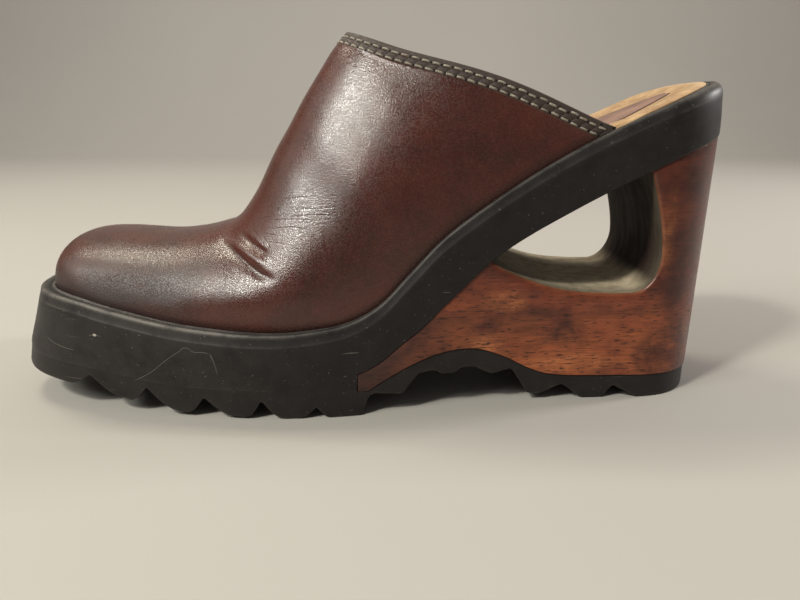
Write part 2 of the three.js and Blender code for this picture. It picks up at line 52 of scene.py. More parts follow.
# %% [markdown]
# ## The shoe's own sizes
# These are the sizes of the CAD model, written again because this script reads no other file. The sole is
# 256 mm long and 95 mm across the ball, which is about EU 39. Keeping the same names and tables means that
# a dressed piece lands where its solid is. Only small forms are set finer here, such as the toe spring, the
# joint round the wood and the step of the leather edge.

# %% Sizes
LENGTH = 256.0
BALL_WIDTH = 95.0
HALF = BALL_WIDTH / 2
PLATFORM = 29.5
TOE_LIFT = 11.5
HEEL_HEIGHT = 112.0
UPPER_RISE = 97.0
TOE_SPRING = 8.6
STRIP = 17.0
TREAD = 8.8
TOE_FLARE = 1.3
FRONT_TREAD = 9.8
ARCH = 21.5
LUG_DEPTH = 6.3
WALL = 2.2
BOW = 2.4
TOE_LEAN = 7.0
HEEL_LEAN = 1.7
BINDING = 5.0
BINDING_STEP = 0.3
STITCH_PITCH = 3.65
SEAMS = (1.7, 4.1)
BEVEL = 4.3
BEVEL_INSET = 1.5
RECESS = 3.5
CROWN = 1.2
DISH = 1.5
BORDER = 10.0
PAD_WIDTH = 33.0
WOOD_INSET = 0.45
HEEL_TAPER = 2.2
WINDOW_RADIUS = 9.0
WOOD_TIP = 0.4985
GAP = 0.3
WOOD_GAP = 0.12
print(f"sole {LENGTH:.0f} x {BALL_WIDTH:.0f} mm")

# %% [markdown]
# ## Smooth curves through short tables
# A table has named columns. `curve` runs a cubic through one of its columns, with slopes taken from the
# neighbouring rows, which is how a shoe designer fairs a line through a few measured stations.

# %% Tables and curves
def table(names, rows):
    columns = np.array(rows, float).T
    return dict(zip(names.split(), columns))


def each_row(rows):
    return zip(*rows.values())


def curve(rows, column):
    x, y = rows["at"], rows[column]
    inner = (y[2:] - y[:-2]) / (x[2:] - x[:-2])
    first = (y[1] - y[0]) / (x[1] - x[0])
    last = (y[-1] - y[-2]) / (x[-1] - x[-2])
    slope = np.concatenate([[first], inner, [last]])

    def at(value):
        v = np.clip(np.asarray(value, float), x[0], x[-1])
        i = np.clip(np.searchsorted(x, v, side="left") - 1, 0, len(x) - 2)
        h = x[i + 1] - x[i]
        t = (v - x[i]) / h
        bend = t * t * (3 - 2 * t)
        lift = slope[i] * (1 - t) - slope[i + 1] * t
        return y[i] * (1 - bend) + y[i + 1] * bend + h * t * (1 - t) * lift

    return at


def smooth(value, low, high):
    t = np.clip((np.asarray(value, float) - low) / (high - low), 0, 1)
    return t * t * (3 - 2 * t)


def mix(a, b, t):
    return a + (b - a) * t


# %% [markdown]
# ## Plan outline of the sole
# Seen from above, the sole is a centre line and a half width, both as shares of half the ball width. The
# toe and the heel close with superellipses: a power of 2.6 gives the broad squared toe of a chunky clog.
# An inset moves the outline inwards, and near both ends it also moves the stations towards the middle.

# %% Plan
PLAN = table("at centre half", [
    (0.00, 0.12, 0.800),
    (0.08, 0.11, 0.860),
    (0.16, 0.08, 0.930),
    (0.26, 0.03, 0.970),
    (0.36, -0.01, 0.985),
    (0.46, -0.04, 0.930),
    (0.56, -0.05, 0.820),
    (0.66, -0.04, 0.735),
    (0.76, -0.02, 0.685),
    (0.86, 0.00, 0.670),
    (1.00, 0.00, 0.660),
])
TOE_ROUND = (0.128, 2.6)
HEEL_ROUND = (0.117, 2.3)
END_REACH = 0.2
centre_line = curve(PLAN, "centre")
half_width = curve(PLAN, "half")


def round_end(share, length, power):
    left = np.clip(1 - share / length, 0, 1)
    return (1 - left**power) ** (1 / power)


def fade(share, reach):
    return np.clip(1 - np.asarray(share, float) / reach, 0, 1) ** 2


def edge(share, side, inset=0.0):
    share = np.asarray(share, float)
    x = share * LENGTH + inset * (fade(share, END_REACH) - fade(1 - share, END_REACH))
    ends = round_end(share, *TOE_ROUND) * round_end(1 - share, *HEEL_ROUND)
    y = centre_line(share) * HALF + side * (half_width(share) * HALF - inset) * ends
    return x, y


print("heel seat", round(float(2 * half_width(0.9) * HALF), 1), "mm wide")

# %% [markdown]
# ## Side profile of the sole
# The ledge on which the upper sits is about 10 mm higher at the sprung toe than at the ball, runs level there
# and climbs to the heel seat. The band under it, the arched underside of the wood and the toe spring follow
# as tables, each as a share of its own named size.

# %% Side profile
LEDGE = table("at toe climb", [
    (0.000, 0.83, 0), (0.050, 0.92, 0), (0.117, 0.82, 0), (0.170, 0.58, 0), (0.250, 0.235, 0),
    (0.320, 0.07, 0), (0.390, 0, 0), (0.440, 0, 0.012), (0.490, 0, 0.043), (0.530, 0, 0.112),
    (0.570, 0, 0.24), (0.610, 0, 0.368), (0.660, 0, 0.485), (0.730, 0, 0.627), (0.800, 0, 0.748),
    (0.880, 0, 0.865), (0.940, 0, 0.944), (1.000, 0, 1.0),
])
BAND = table("at deep", [
    (0.490, 1.1), (0.545, 1.2), (0.590, 1.38), (0.630, 1.33),
    (0.680, 1.17), (0.780, 1.18), (0.880, 1.14), (1.000, 1.07),
])
WOOD_UNDER = table("at up", [
    (0.500, 0), (0.514, 0.02), (0.530, 0.215), (0.570, 0.645), (0.605, 0.9), (0.637, 1.0),
    (0.665, 0.95), (0.700, 0.67), (0.735, 0.29), (0.765, 0.09), (0.820, 0.01), (1.000, 0),
])
SPRING = table("at up", [
    (0.00, 1.36), (0.03, 1.24), (0.08, 1.11), (0.13, 0.90), (0.18, 0.61), (0.23, 0.30), (0.27, 0.16),
    (0.30, 0.115), (0.345, 0.087), (0.38, 0.05), (0.42, 0.01), (0.45, 0),
])
RIM = table("at wide", [
    (0.00, 4.6), (0.20, 4.4), (0.40, 3.4), (0.60, 2.2), (0.85, 2.0), (0.95, 3.0), (1.00, 4.2),
])
toe_share, climb_share = curve(LEDGE, "toe"), curve(LEDGE, "climb")
band_depth, arch_share = curve(BAND, "deep"), curve(WOOD_UNDER, "up")
spring_share, rim_width = curve(SPRING, "up"), curve(RIM, "wide")
TOP_SPRING = 0.75
FLARE_REACH, HEEL_REACH = 0.17, 0.12


def ledge(x):
    climb = (HEEL_HEIGHT - PLATFORM) * climb_share(x / LENGTH)
    return PLATFORM + TOE_LIFT * toe_share(x / LENGTH) + climb


def band_under(x):
    return ledge(x) - STRIP * band_depth(x / LENGTH)


def tread_top(x):
    share = np.asarray(x, float) / LENGTH
    front = FRONT_TREAD + TOP_SPRING * TOE_SPRING * spring_share(share)
    back = TREAD + (ARCH - TREAD) * arch_share(share)
    return np.where(share < WOOD_TIP, front, back)


def lean(share):
    return TOE_LEAN * fade(share, FLARE_REACH) + HEEL_LEAN * fade(1 - np.asarray(share), HEEL_REACH)


def rim_outer(share):
    return BEVEL_INSET + lean(share)


def tray_edge(share):
    return rim_outer(share) + rim_width(share)


print("ledge at toe, ball, heel:", [round(float(ledge(x)), 1) for x in (12, 100, 250)])

# %% [markdown]
# ## From rows of points to a mesh
# `ring` walks once round the sole at one height. `skin` joins rows of points with quads, can close them
# into a ring and can bridge the first and last row from side to side. Every piece is made at the origin,
# unrotated and unscaled, with the CAD's own frame: the toe points to -X and the outer side to -Y.

# %% Mesh helpers
def ring(shares, inset, height):
    inset = inset(shares) if callable(inset) else inset
    inset = np.broadcast_to(inset, shares.shape)
    x, outer = edge(shares, -1, inset)
    _, inner = edge(shares, 1, inset)
    z = height(x, shares)
    near = np.stack([x, outer, z], 1)
    far = np.stack([x, inner, z], 1)[1:-1][::-1]
    return np.concatenate([near, far])


def stations(amount, corners=()):
    even = (1 - np.cos(np.linspace(0, np.pi, amount + 1))) / 2
    every = np.sort(np.concatenate([even, np.asarray(corners, float)]))
    return every[np.concatenate([[True], np.diff(every) > 0.0006])]


def make_object(name, points, faces, sharp=35.0):
    mesh = bpy.data.meshes.new(name)
    placed = (np.asarray(points, float) - [LENGTH / 2, 0, 0]) * MM
    mesh.from_pydata(placed.tolist(), [], faces)
    mesh.validate(clean_customdata=False)
    mesh.polygons.foreach_set("use_smooth", [True] * len(mesh.polygons))
    mesh.set_sharp_from_angle(angle=math.radians(sharp))
    mesh.update()
    piece = bpy.data.objects.new(name, mesh)
    bpy.context.scene.collection.objects.link(piece)
    return piece


def skin(rows, closed=True):
    rows = np.asarray(rows, float)
    amount, wide = rows.shape[:2]
    base = np.arange(amount * wide).reshape(amount, wide)
    right = np.roll(base, -1, 1) if closed else base[:, 1:]
    left = base if closed else base[:, :-1]
    quads = np.stack([left[:-1], right[:-1], right[1:], left[1:]], -1).reshape(-1, 4)
    return rows.reshape(-1, 3), quads.tolist()


def bridge(first, wide, up):
    half = wide // 2
    quads = []
    for i in range(half):
        a, b = first + i, first + i + 1
        c, d = first + (wide - i - 1) % wide, first + (wide - i) % wide
        quad = [a, b, c] if a == d else [a, b, d] if b == c else [a, b, c, d]
        quads.append(quad if up else quad[::-1])
    return quads


def stack(name, rings, sharp=35.0):
    points, faces = skin(rings)
    wide = len(rings[0])
    faces += bridge(0, wide, False) + bridge((len(rings) - 1) * wide, wide, True)
    return make_object(name, points, faces, sharp)


def add_layer(piece, name, values):
    layer = piece.data.attributes.new(name, "FLOAT", "POINT")
    layer.data.foreach_set("value", np.asarray(values, float))


def weld(piece, distance=1e-6):
    mesh = bmesh.new()
    mesh.from_mesh(piece.data)
    bmesh.ops.remove_doubles(mesh, verts=mesh.verts, dist=distance)
    mesh.to_mesh(piece.data)
    mesh.free()


def count(piece):
    print(f"{piece.name}: {len(piece.data.vertices)} points, {len(piece.data.polygons)} faces")


# %% [markdown]
# ## The rubber platform
# One moulding: a tall block under the forefoot that thins into the band climbing to the heel seat. Its
# wall leans in by half a millimetre at the foot and is a touch full in the middle. Above it the light picks
# out the crease where the bevel starts, the rounded rim that is rubbed grey, and a shallow groove in the
# ledge just outside the leather; pale lines along the bevel's foot, the rim and the groove's edges are
# painted highlight as well as rubbing. Behind the forefoot the band has a small rounded lower edge of its
# own, and just behind the tip of the wood that edge is flush with the wood. Each row of the mesh also gets a
# share of paler colour for the material, partly wear and partly painted highlight.

# %% Platform
LOWER_EDGE = table("inset up wear", [
    (0.70, 0.00, 0.12),
    (0.20, 0.06, 0.12),
    (0.04, 0.30, 0.20),
    (0.00, 0.70, 0.14),
])
WALL_START, WALL_END = 1.2, 0.5
WALL_LEAN, WALL_FULLNESS = 0.5, 0.12
WALL_WEAR = 0.12
TREAD_JOINT, BAND_JOINT = 0.03, 0.1
shares = stations(260, [WOOD_TIP - 0.0012, WOOD_TIP - 0.0006, WOOD_TIP + 0.0001])


def wall_inset(x, z):
    low = tread_top(x) + WALL_START
    t = np.clip((z - low) / (ledge(x) - BEVEL - WALL_END - low), 0, 1)
    return WALL_LEAN * (1 - t) - WALL_FULLNESS * np.sin(np.pi * t)


def near_tip(share):
    return 1 - smooth(share, WOOD_TIP, WOOD_TIP + 0.1)


def platform_low(share):
    plain = WALL_LEAN + 0.3 * smooth(share, 0.5, 0.8)
    x = share * LENGTH
    flush = wall_inset(x, band_under(x) + (BAND_JOINT + WALL_START))
    return np.where(share < WOOD_TIP, plain, mix(plain, flush, near_tip(share)))


def platform_under(x, share):
    return np.where(share < WOOD_TIP, tread_top(x) + TREAD_JOINT, band_under(x) + BAND_JOINT)


def at_heel(share):
    return smooth(share, 0.86, 0.985)


def wall_row(t):
    def inset(share):
        return mix(platform_low(share), lean(share), t) - WALL_FULLNESS * math.sin(math.pi * t)

    def height(x, share):
        low = platform_under(x, share) + WALL_START
        return mix(low, ledge(x) - BEVEL - WALL_END - 1.5 * at_heel(share), t)

    return ring(shares, inset, height)


rows, wear = [], []
for inset, up, worn in each_row(LOWER_EDGE):
    rows.append(ring(
        shares,
        lambda s: platform_low(s) + inset * smooth(s, WOOD_TIP - 0.001, WOOD_TIP),
        lambda x, s: platform_under(x, s) + up,
    ))
    wear.append(worn)
for t in np.linspace(0.08, 1.0, 12):
    rows.append(wall_row(t))
    wear.append(WALL_WEAR)
print(len(rows), "rows up to the bevel")

# %% [markdown]
# The rim's rows are measured from the wall inwards and from the ledge downwards. At the heel they are mixed
# with a second, rounder section, because the rim there is rubbed down by hands and floors.

# %% Rim and ledge
# The third column paints the bevel's foot and the rounded rim paler: partly rubbing, partly painted
# highlight.
RIM_PROFILE = table("bevel drop wear heel_bevel heel_drop", [
    (0.18, 4.15, 0.10, 0.03, 5.40),
    (0.30, 3.75, 0.42, 0.10, 4.40),
    (0.55, 3.10, 0.18, 0.24, 3.50),
    (0.85, 2.15, 0.15, 0.48, 2.60),
    (1.10, 1.30, 0.22, 0.90, 1.75),
    (1.22, 0.75, 0.75, 1.45, 1.05),
    (1.42, 0.25, 1.00, 2.05, 0.52),
    (1.85, 0.02, 0.90, 2.60, 0.18),
    (2.40, 0.00, 0.50, 3.10, 0.00),
])
# The third column paints the groove's edges paler: partly painted highlight, partly rubbing.
GROOVE = table("across drop wear", [
    (0.30, 0.04, 0.35),
    (0.50, 0.45, 0.05),
    (0.68, 0.50, 0.05),
    (0.80, 0.10, 0.70),
    (1.00, 0.05, 0.50),
])
rim_end = RIM_PROFILE["bevel"][-1], RIM_PROFILE["heel_bevel"][-1]
for bevel, drop, worn, heel_bevel, heel_drop in each_row(RIM_PROFILE):
    rows.append(ring(
        shares,
        lambda s: lean(s) + mix(bevel, heel_bevel, at_heel(s)),
        lambda x, s: ledge(x) - mix(drop, heel_drop, at_heel(s)),
    ))
    wear.append(worn)
for across, drop, worn in each_row(GROOVE):
    rows.append(ring(
        shares,
        lambda s: mix(lean(s) + mix(*rim_end, at_heel(s)), tray_edge(s), across),
        lambda x, s: ledge(x) - drop,
    ))
    wear.append(worn)
rows.append(ring(shares, tray_edge, lambda x, s: ledge(x) - RECESS))
wear.append(0.0)
platform = stack("platform_rubber", rows, 50)
# Wear and painted edge highlight as a point attribute, weaker on the climb to the heel.
along_share = np.concatenate(rows)[:, 0] / LENGTH
on_climb = smooth(along_share, 0.3, 0.45) * (1 - smooth(along_share, 0.88, 0.95))
add_layer(platform, "wear", np.repeat(wear, len(rows[0])) * (1 - 0.6 * on_climb))
count(platform)

# %% [markdown]
# ## The lugged tread
# The tread is one rubber part too. Under the forefoot each lug is a bar whose front face falls in a long
# curve and whose back face rises steeply. Under the arch the bars are low, and under the heel they are
# straight. A short running average over the profile gives the moulded corners their small radius. Scallops
# give the forefoot: where each valley is, where its front curve ends and the next rise begins, and how deep
# it is. Lugs give the rest: how thick the tread is at each station.

# %% Tread profile
SCALLOPS = table("valley start end up", [
    (0.000, 0.012, 0.100, 0.0),
    (0.135, 0.178, 0.190, 0.86),
    (0.216, 0.260, 0.270, 1.05),
    (0.295, 0.337, 0.352, 1.0),
    (0.372, 0.400, 0.422, 1.0),
    (0.444, 0.463, 0.505, 0.65),
])
LUGS = table("at thick", [
    (0.505, 2.0), (0.5125, 0.25), (0.522, 0.3), (0.558, 1.03), (0.58, 0.5), (0.603, 0.67), (0.61, 0.88),
    (0.629, 0.99), (0.64, 0.79), (0.657, 0.78), (0.681, 0.95), (0.709, 0.38), (0.734, 1.12),
    (0.752, 0.97), (0.783, 0.42), (0.813, 1.1), (0.842, 1.1), (0.857, 0.46), (0.891, 1.1),
    (0.968, 1.1), (1.0, 0.85),
])


def scallop_under(share):
    base = TOE_SPRING * spring_share(share)
    last = len(SCALLOPS["valley"]) - 1
    i = np.clip(np.searchsorted(SCALLOPS["valley"], share, side="right") - 1, 0, last)
    valley, start, end = (SCALLOPS[k][i] for k in ("valley", "start", "end"))
    following = np.clip(i + 1, 0, last)
    falling = (share - valley) / (start - valley)
    fall = LUG_DEPTH * SCALLOPS["up"][i] * (1 - np.sin(np.clip(falling, 0, 1) * np.pi / 2))
    room = np.where(i < last, SCALLOPS["valley"][following] - end, 1)
    rising = np.where(i < last, (share - end) / room, 0)
    rise = LUG_DEPTH * SCALLOPS["up"][following] * (1 - np.cos(np.clip(rising, 0, 1) * np.pi / 2))
    return base + np.where(share < start, fall, rise)


def lug_under(share):
    low = np.maximum(0, tread_top(LUGS["at"] * LENGTH) - TREAD * LUGS["thick"])
    return np.interp(share, LUGS["at"], low)


def tread_under(x):
    share = np.asarray(x, float) / LENGTH
    return np.where(share < LUGS["at"][0], scallop_under(share), lug_under(share))


PROFILE_STEP, ROUNDING = 0.2, 9
fine = np.arange(-4, LENGTH + 4, PROFILE_STEP)
sharp_profile = tread_under(np.clip(fine, 0, LENGTH))
kernel = np.hanning(ROUNDING)
padded = np.pad(sharp_profile, ROUNDING // 2, mode="edge")
rounded_profile = np.convolve(padded, kernel / kernel.sum(), "valid")


def soft_under(x):
    return np.maximum(0, np.interp(x, fine, rounded_profile))


print("lowest tread point", round(float(soft_under(fine).min()), 3), "mm")

# %% [markdown]
# The tread is a stack of rings as well. The lowest ones turn the corner under the sole, where the rubber is
# worn most, and the rest are the straight side. It flares with the toe and tapers with the wooden heel.

# %% Tread mesh
TREAD_CORNER = table("inset up wear", [
    (9.00, 0.00, 0.20),
    (0.60, 0.00, 0.40),
    (0.25, 0.10, 0.70),
    (0.08, 0.30, 0.60),
    (0.02, 0.65, 0.30),
    (0.00, 1.10, 0.15),
])
LEAST_SIDE = 0.9
TOP_CORNER = 0.25
shares = stations(420, [WOOD_TIP - 0.0008, WOOD_TIP + 0.0001])


def behind_tip(share):
    return 0.3 * smooth(share, 0.49, 0.52)


def taper(share):
    return WALL_LEAN + behind_tip(share) + HEEL_TAPER * smooth(share, 0.5, 0.8)


def flare(share, t=0.0):
    return TOE_FLARE * fade(share, FLARE_REACH) * (1 - t)


def corner_height(x, up):
    return np.minimum(soft_under(x) + up, tread_top(x) - LEAST_SIDE)


rows, wear = [], []
for inset, up, worn in each_row(TREAD_CORNER):
    rows.append(ring(shares, lambda s: taper(s) + inset - flare(s), lambda x, s: corner_height(x, up)))
    wear.append(worn)
for t in (0.35, 0.7, 1.0):
    rows.append(ring(
        shares,
        lambda s: taper(s) - flare(s, t),
        lambda x, s: mix(corner_height(x, TREAD_CORNER["up"][-1]), tread_top(x) - TOP_CORNER, t),
    ))
    wear.append(WALL_WEAR)
rows.append(ring(shares, lambda s: taper(s) + behind_tip(s), lambda x, s: tread_top(x)))
wear.append(WALL_WEAR)
outsole = stack("outsole_tread", rows, 38)
add_layer(outsole, "wear", np.repeat(wear, len(rows[0])))
count(outsole)

# %% [markdown]
# ## The wooden wedge
# The wedge is sawn from one block, shaped to the sole's outline and cut through by the window, and all its
# edges are sanded round. Its side view is one polygon, because the window is open to the band above it.
# A Delaunay fill meshes that polygon once, and each point is then pushed out to the left and the right
# side of the shoe. Near the heel the length is measured along the round end, so the mesh wraps evenly.

# %% Outline of the wedge
WINDOW_FLOOR = table("at up", [
    (0.6695, 0.47), (0.7, 0.43), (0.745, 0.387), (0.79, 0.3625), (0.84, 0.3535),
])
WINDOW_BACK = 0.907 * LENGTH
WINDOW_TOP_BACK = 0.879 * LENGTH
WINDOW_START, WINDOW_END = WINDOW_FLOOR["at"][0], WINDOW_FLOOR["at"][-1]
CORNER_LONG, CORNER_TALL = 1.15 * WINDOW_RADIUS, 1.4 * WINDOW_RADIUS
HEEL_WRAP = 30.0
window_floor = curve(WINDOW_FLOOR, "up")


def wedge_outline():
    tip = (WOOD_TIP + 0.0004) * LENGTH
    end = LENGTH - WOOD_INSET
    under_x = np.linspace(tip + 0.3, LENGTH - HEEL_WRAP, 94)
    wrap = LENGTH - HEEL_WRAP + (HEEL_WRAP - WOOD_INSET) * np.sin(np.linspace(0, np.pi / 2, 30))[1:]
    under = [(x, tread_top(x) + WOOD_GAP) for x in np.concatenate([under_x, wrap])]
    back_low, back_high = float(tread_top(end)) + WOOD_GAP, float(band_under(end))
    spine = [(end, z) for z in np.linspace(back_low, back_high, 38)[1:-1]]
    top_back = [(x, band_under(x)) for x in wrap[::-1]]
    top_back += [(x, band_under(x)) for x in np.linspace(LENGTH - HEEL_WRAP, WINDOW_TOP_BACK, 4)[:-1]]
    floor_z = float(window_floor(WINDOW_END)) * HEEL_HEIGHT
    low, high = floor_z + CORNER_TALL, float(band_under(WINDOW_TOP_BACK))
    back = [
        (mix(WINDOW_BACK, WINDOW_TOP_BACK, t**1.6), mix(low, high, t))
        for t in np.linspace(1, 0.06, 24)
    ]
    corner = WINDOW_BACK - CORNER_LONG
    turn = np.radians(np.linspace(0, -90, 16))
    corner_points = [
        (corner + CORNER_LONG * math.cos(a), floor_z + CORNER_TALL * (1 + math.sin(a)))
        for a in turn
    ]
    floor_share = np.linspace(corner / LENGTH, WINDOW_START, 40)[1:]
    floor = [(s * LENGTH, float(window_floor(s)) * HEEL_HEIGHT) for s in floor_share]
    start = floor[-1][0]
    top_front = [(x, band_under(x)) for x in np.linspace(start - 1.2, tip, 40)]
    nose_top, nose_low = float(band_under(tip)), float(tread_top(tip)) + WOOD_GAP
    nose = [(tip, mix(nose_top, nose_low, t)) for t in (0.25, 0.5, 0.75, 0.94)]
    parts = [under + spine + top_back, back + corner_points + floor, top_front + nose]
    points = np.array([(float(x), float(z)) for part in parts for x, z in part])
    return points, np.repeat([0.0, 1.0, 0.0], [len(part) for part in parts])


outline, window_part = wedge_outline()
print("wedge outline has", len(outline), "points")

# %% [markdown]
# The fill works in a plane where the round heel is unrolled: `unroll` turns x into a length along the
# round end, and `roll_back` undoes it. Two rings of points, 0.35 and 1.1 mm inside the outline, carry the
# sanded edge, and an even lattice fills the rest. Strips across the shoe then join the two sides.

# %% Wedge mesh
def unroll(x):
    over = np.clip((x - (LENGTH - HEEL_WRAP)) / (HEEL_WRAP - WOOD_INSET), 0, 1)
    return np.where(over > 0, LENGTH - HEEL_WRAP + HEEL_WRAP * np.arcsin(over), x)


def wood_inset(x, z):
    low_down = np.clip(1 - z / (HEEL_HEIGHT * 1.2), 0, 1)
    plain = WOOD_INSET + HEEL_TAPER * smooth(x / LENGTH, 0.5, 0.8) * low_down
    return mix(plain, wall_inset(x, z) + 0.05, near_tip(x / LENGTH))


def roll_back(u, z):
    turn = np.clip((u - (LENGTH - HEEL_WRAP)) / HEEL_WRAP, 0, np.pi / 2)
    return np.where(turn > 0, LENGTH - HEEL_WRAP + (HEEL_WRAP - wood_inset(LENGTH, z)) * np.sin(turn), u)


def inner_ring(points, depth):
    ahead = np.roll(points, -1, 0) - np.roll(points, 1, 0)
    normal = np.stack([-ahead[:, 1], ahead[:, 0]], 1)
    return points + depth * normal / np.linalg.norm(normal, axis=1)[:, None]


def inside(points, polygon):
    x, z = points[:, 0][:, None], points[:, 1][:, None]
    a, b = polygon, np.roll(polygon, -1, 0)
    crosses = (a[:, 1] > z) != (b[:, 1] > z)
    climb = np.where(b[:, 1] == a[:, 1], 1e-9, b[:, 1] - a[:, 1])
    at = a[:, 0] + (z - a[:, 1]) / climb * (b[:, 0] - a[:, 0])
    return (np.sum(crosses & (x < at), 1) % 2) == 1


SANDED_RINGS = (0.35, 1.1)
FILL_PITCH = 2.2
flat = np.stack([unroll(outline[:, 0]), outline[:, 1]], 1)
rings = [inner_ring(flat, depth) for depth in SANDED_RINGS]
lattice = np.stack(np.meshgrid(np.arange(128, 282, FILL_PITCH), np.arange(8, 100, FILL_PITCH)), -1)
lattice = lattice.reshape(-1, 2)
lattice = lattice[inside(lattice, inner_ring(flat, FILL_PITCH + 0.1))]
plane = np.concatenate([flat] + [r[inside(r, flat)] for r in rings] + [lattice])
border = [(i, (i + 1) % len(flat)) for i in range(len(flat))]
found = delaunay_2d_cdt([Vector(p) for p in plane], border, [], 1, 1e-4)
flat_points = np.array([tuple(p) for p in found[0]])
triangles = found[2]
print(len(triangles), "triangles on each side")

# %% Both sides of the wedge
OUTER_SANDING, WINDOW_SANDING = 0.12, 0.7
away = ((flat_points[:, None, :] - flat[None, :, :]) ** 2).sum(-1)
depth_in = np.sqrt(away).min(1)
nearest = away.argmin(1)


def wood_side(x, z, side):
    inset, share = wood_inset(x, z), x / LENGTH
    for _ in range(8):
        share = np.clip((x + inset * fade(1 - share, END_REACH)) / LENGTH, 0, 1)
    return edge(share, side, inset)[1]


u, z = flat_points.T
x = roll_back(u, z)
last_u = LENGTH + HEEL_WRAP * (np.pi / 2 - 1)
rounded = OUTER_SANDING + WINDOW_SANDING * window_part[nearest]
sanded = rounded * np.clip(1 - depth_in, 0, 1) ** 2 * (1 - smooth(u, last_u - 9, last_u - 1.5))
left, right = wood_side(x, z, -1) + sanded, wood_side(x, z, 1) - sanded
near = np.stack([x, left, z], 1)
far = np.stack([x, right, z], 1)
print("wood is", round(float((right - left).max()), 1), "mm wide")

# %% Walls across the wedge
ACROSS = 22
edges = dict.fromkeys((tri[k], tri[(k + 1) % 3]) for tri in triangles for k in range(3))
rim_pairs = [pair for pair in edges if (pair[1], pair[0]) not in edges]
total = len(flat_points)
points = [near, far]
where = {}
for vertex in sorted({v for pair in rim_pairs for v in pair}):
    start = total * 2 + len(where) * (ACROSS - 1)
    where[vertex] = [vertex] + [start + k for k in range(ACROSS - 1)] + [total + vertex]
    t = (np.arange(1, ACROSS) / ACROSS)[:, None]
    points.append(near[vertex] * (1 - t) + far[vertex] * t)
faces = [list(t) for t in triangles] + [[total + i for i in t[::-1]] for t in triangles]
for a, b in rim_pairs:
    for k in range(ACROSS):
        faces.append([where[b][k], where[a][k], where[a][k + 1], where[b][k + 1]])
wedge = make_object("wedge_wood", np.concatenate(points), faces, 40)
on_rim = depth_in < 0.01
walls = np.repeat([window_part[nearest[v]] for v in where], ACROSS - 1)
face_window = window_part[nearest] * on_rim
add_layer(wedge, "window", np.concatenate([face_window, face_window, walls]))
sanding = np.exp(-((depth_in / 0.45) ** 2)) * window_part[nearest]
add_layer(wedge, "sanding", np.concatenate([sanding, sanding, np.zeros(len(walls))]))
weld(wedge)
count(wedge)

# %% [markdown]
# ## The leather upper
# A shoemaker pulls wet leather over a last, and the sections here stand in for that last. Each row is an
# arch that springs from the ledge on both sides and peaks at the ridge. Sections at the toe stand upright;
# further back they tip forward until the last one is the topline. Foot and ridge are shares of the sole's
# length, rise is a share of the upper's height and round is the power of the arch. Bulge makes a section
# fuller at half height, and bow lifts the middle of its sides.

# %% Sections of the last
SECTIONS = table("foot ridge rise round bulge bow", [
    (0.000, 0.0523, 0.110, 2.20, 0.000, 0.0),
    (0.008, 0.0534, 0.142, 2.22, -0.003, 0.0),
    (0.022, 0.0570, 0.188, 2.25, -0.005, 0.0),
    (0.045, 0.0640, 0.232, 2.27, -0.006, 0.0),
    (0.075, 0.0775, 0.264, 2.26, -0.008, 0.0),
    (0.108, 0.0995, 0.279, 2.23, -0.010, 0.0),
    (0.140, 0.1270, 0.282, 2.20, -0.010, 0.0),
    (0.175, 0.1560, 0.280, 2.20, -0.010, 0.0),
    (0.212, 0.1900, 0.278, 2.20, -0.010, 0.0),
    (0.252, 0.2270, 0.281, 2.20, -0.010, 0.0),
    (0.298, 0.2620, 0.292, 2.20, 0.005, 0.0),
    (0.345, 0.2940, 0.316, 2.20, 0.020, 0.0),
    (0.388, 0.3200, 0.346, 2.15, 0.045, 0.0),
    (0.430, 0.3410, 0.412, 2.10, 0.050, 0.0),
    (0.475, 0.3660, 0.530, 2.10, 0.050, 0.0),
    (0.525, 0.3920, 0.650, 2.10, 0.050, 0.0),
    (0.580, 0.4180, 0.765, 2.15, 0.045, 0.2),
    (0.650, 0.4420, 0.865, 2.20, 0.035, 0.5),
    (0.735, 0.4630, 0.945, 2.25, 0.025, 0.8),
    (0.828, 0.4810, 1.000, 2.30, 0.015, 1.0),
])
SECTIONS["at"] = np.linspace(0, 1, len(SECTIONS["foot"]))
section = {name: curve(SECTIONS, name) for name in ("foot", "ridge", "rise", "round", "bulge", "bow")}
BULGE_TOP, BOW_TOP = 0.66, 0.82


def soft_hump(share):
    return np.sin(np.clip(share, 0, 1) * np.pi) ** 1.6


def upper_point(station, angle):
    foot = section["foot"](station)
    inset = tray_edge(foot) + GAP
    x, outer = edge(foot, -1, inset)
    _, inner = edge(foot, 1, inset)
    half, middle = (inner - outer) / 2, (inner + outer) / 2
    low = ledge(x) + GAP
    tip = np.maximum(section["ridge"](station) * LENGTH, tray_edge(0.0) + GAP)
    high = PLATFORM + UPPER_RISE * section["rise"](station)
    power = 2 / section["round"](station)
    along = np.abs(np.cos(angle)) ** power * np.sign(np.cos(angle))
    up = np.clip(np.sin(angle), 0, 1) ** power
    bulge = 1 + section["bulge"](station) * soft_hump(up / BULGE_TOP)
    bow = BOW * section["bow"](station) * soft_hump(up / BOW_TOP)
    pole = np.where(np.asarray(station) > 0, 1.0, 0.0)
    return np.stack([
        mix(x, tip, up * pole),
        middle - half * along * bulge * pole,
        mix(low, high, up * pole) + bow * pole,
    ], -1)


def station_at(distance, angles):
    rim = upper_point(1.0, np.linspace(0.02, np.pi - 0.02, 120))
    low, high = np.full(len(angles), 0.6), np.ones(len(angles))
    for _ in range(22):
        middle = (low + high) / 2
        points = upper_point(middle, angles)
        far = np.sqrt(((points[:, None] - rim[None]) ** 2).sum(-1)).min(1)
        low, high = np.where(far > distance, middle, low), np.where(far > distance, high, middle)
    return (low + high) / 2


def topline_length(angles):
    turn = np.linspace(0, np.pi, 1200)
    line = upper_point(np.ones(1200), turn)
    length = np.concatenate([[0], np.cumsum(np.linalg.norm(np.diff(line, axis=0), axis=1))])
    return np.interp(angles, turn, length)


print("instep peak", upper_point(1.0, np.pi / 2).round(1))
print("topline", round(float(topline_length(np.pi)), 1), "mm round")
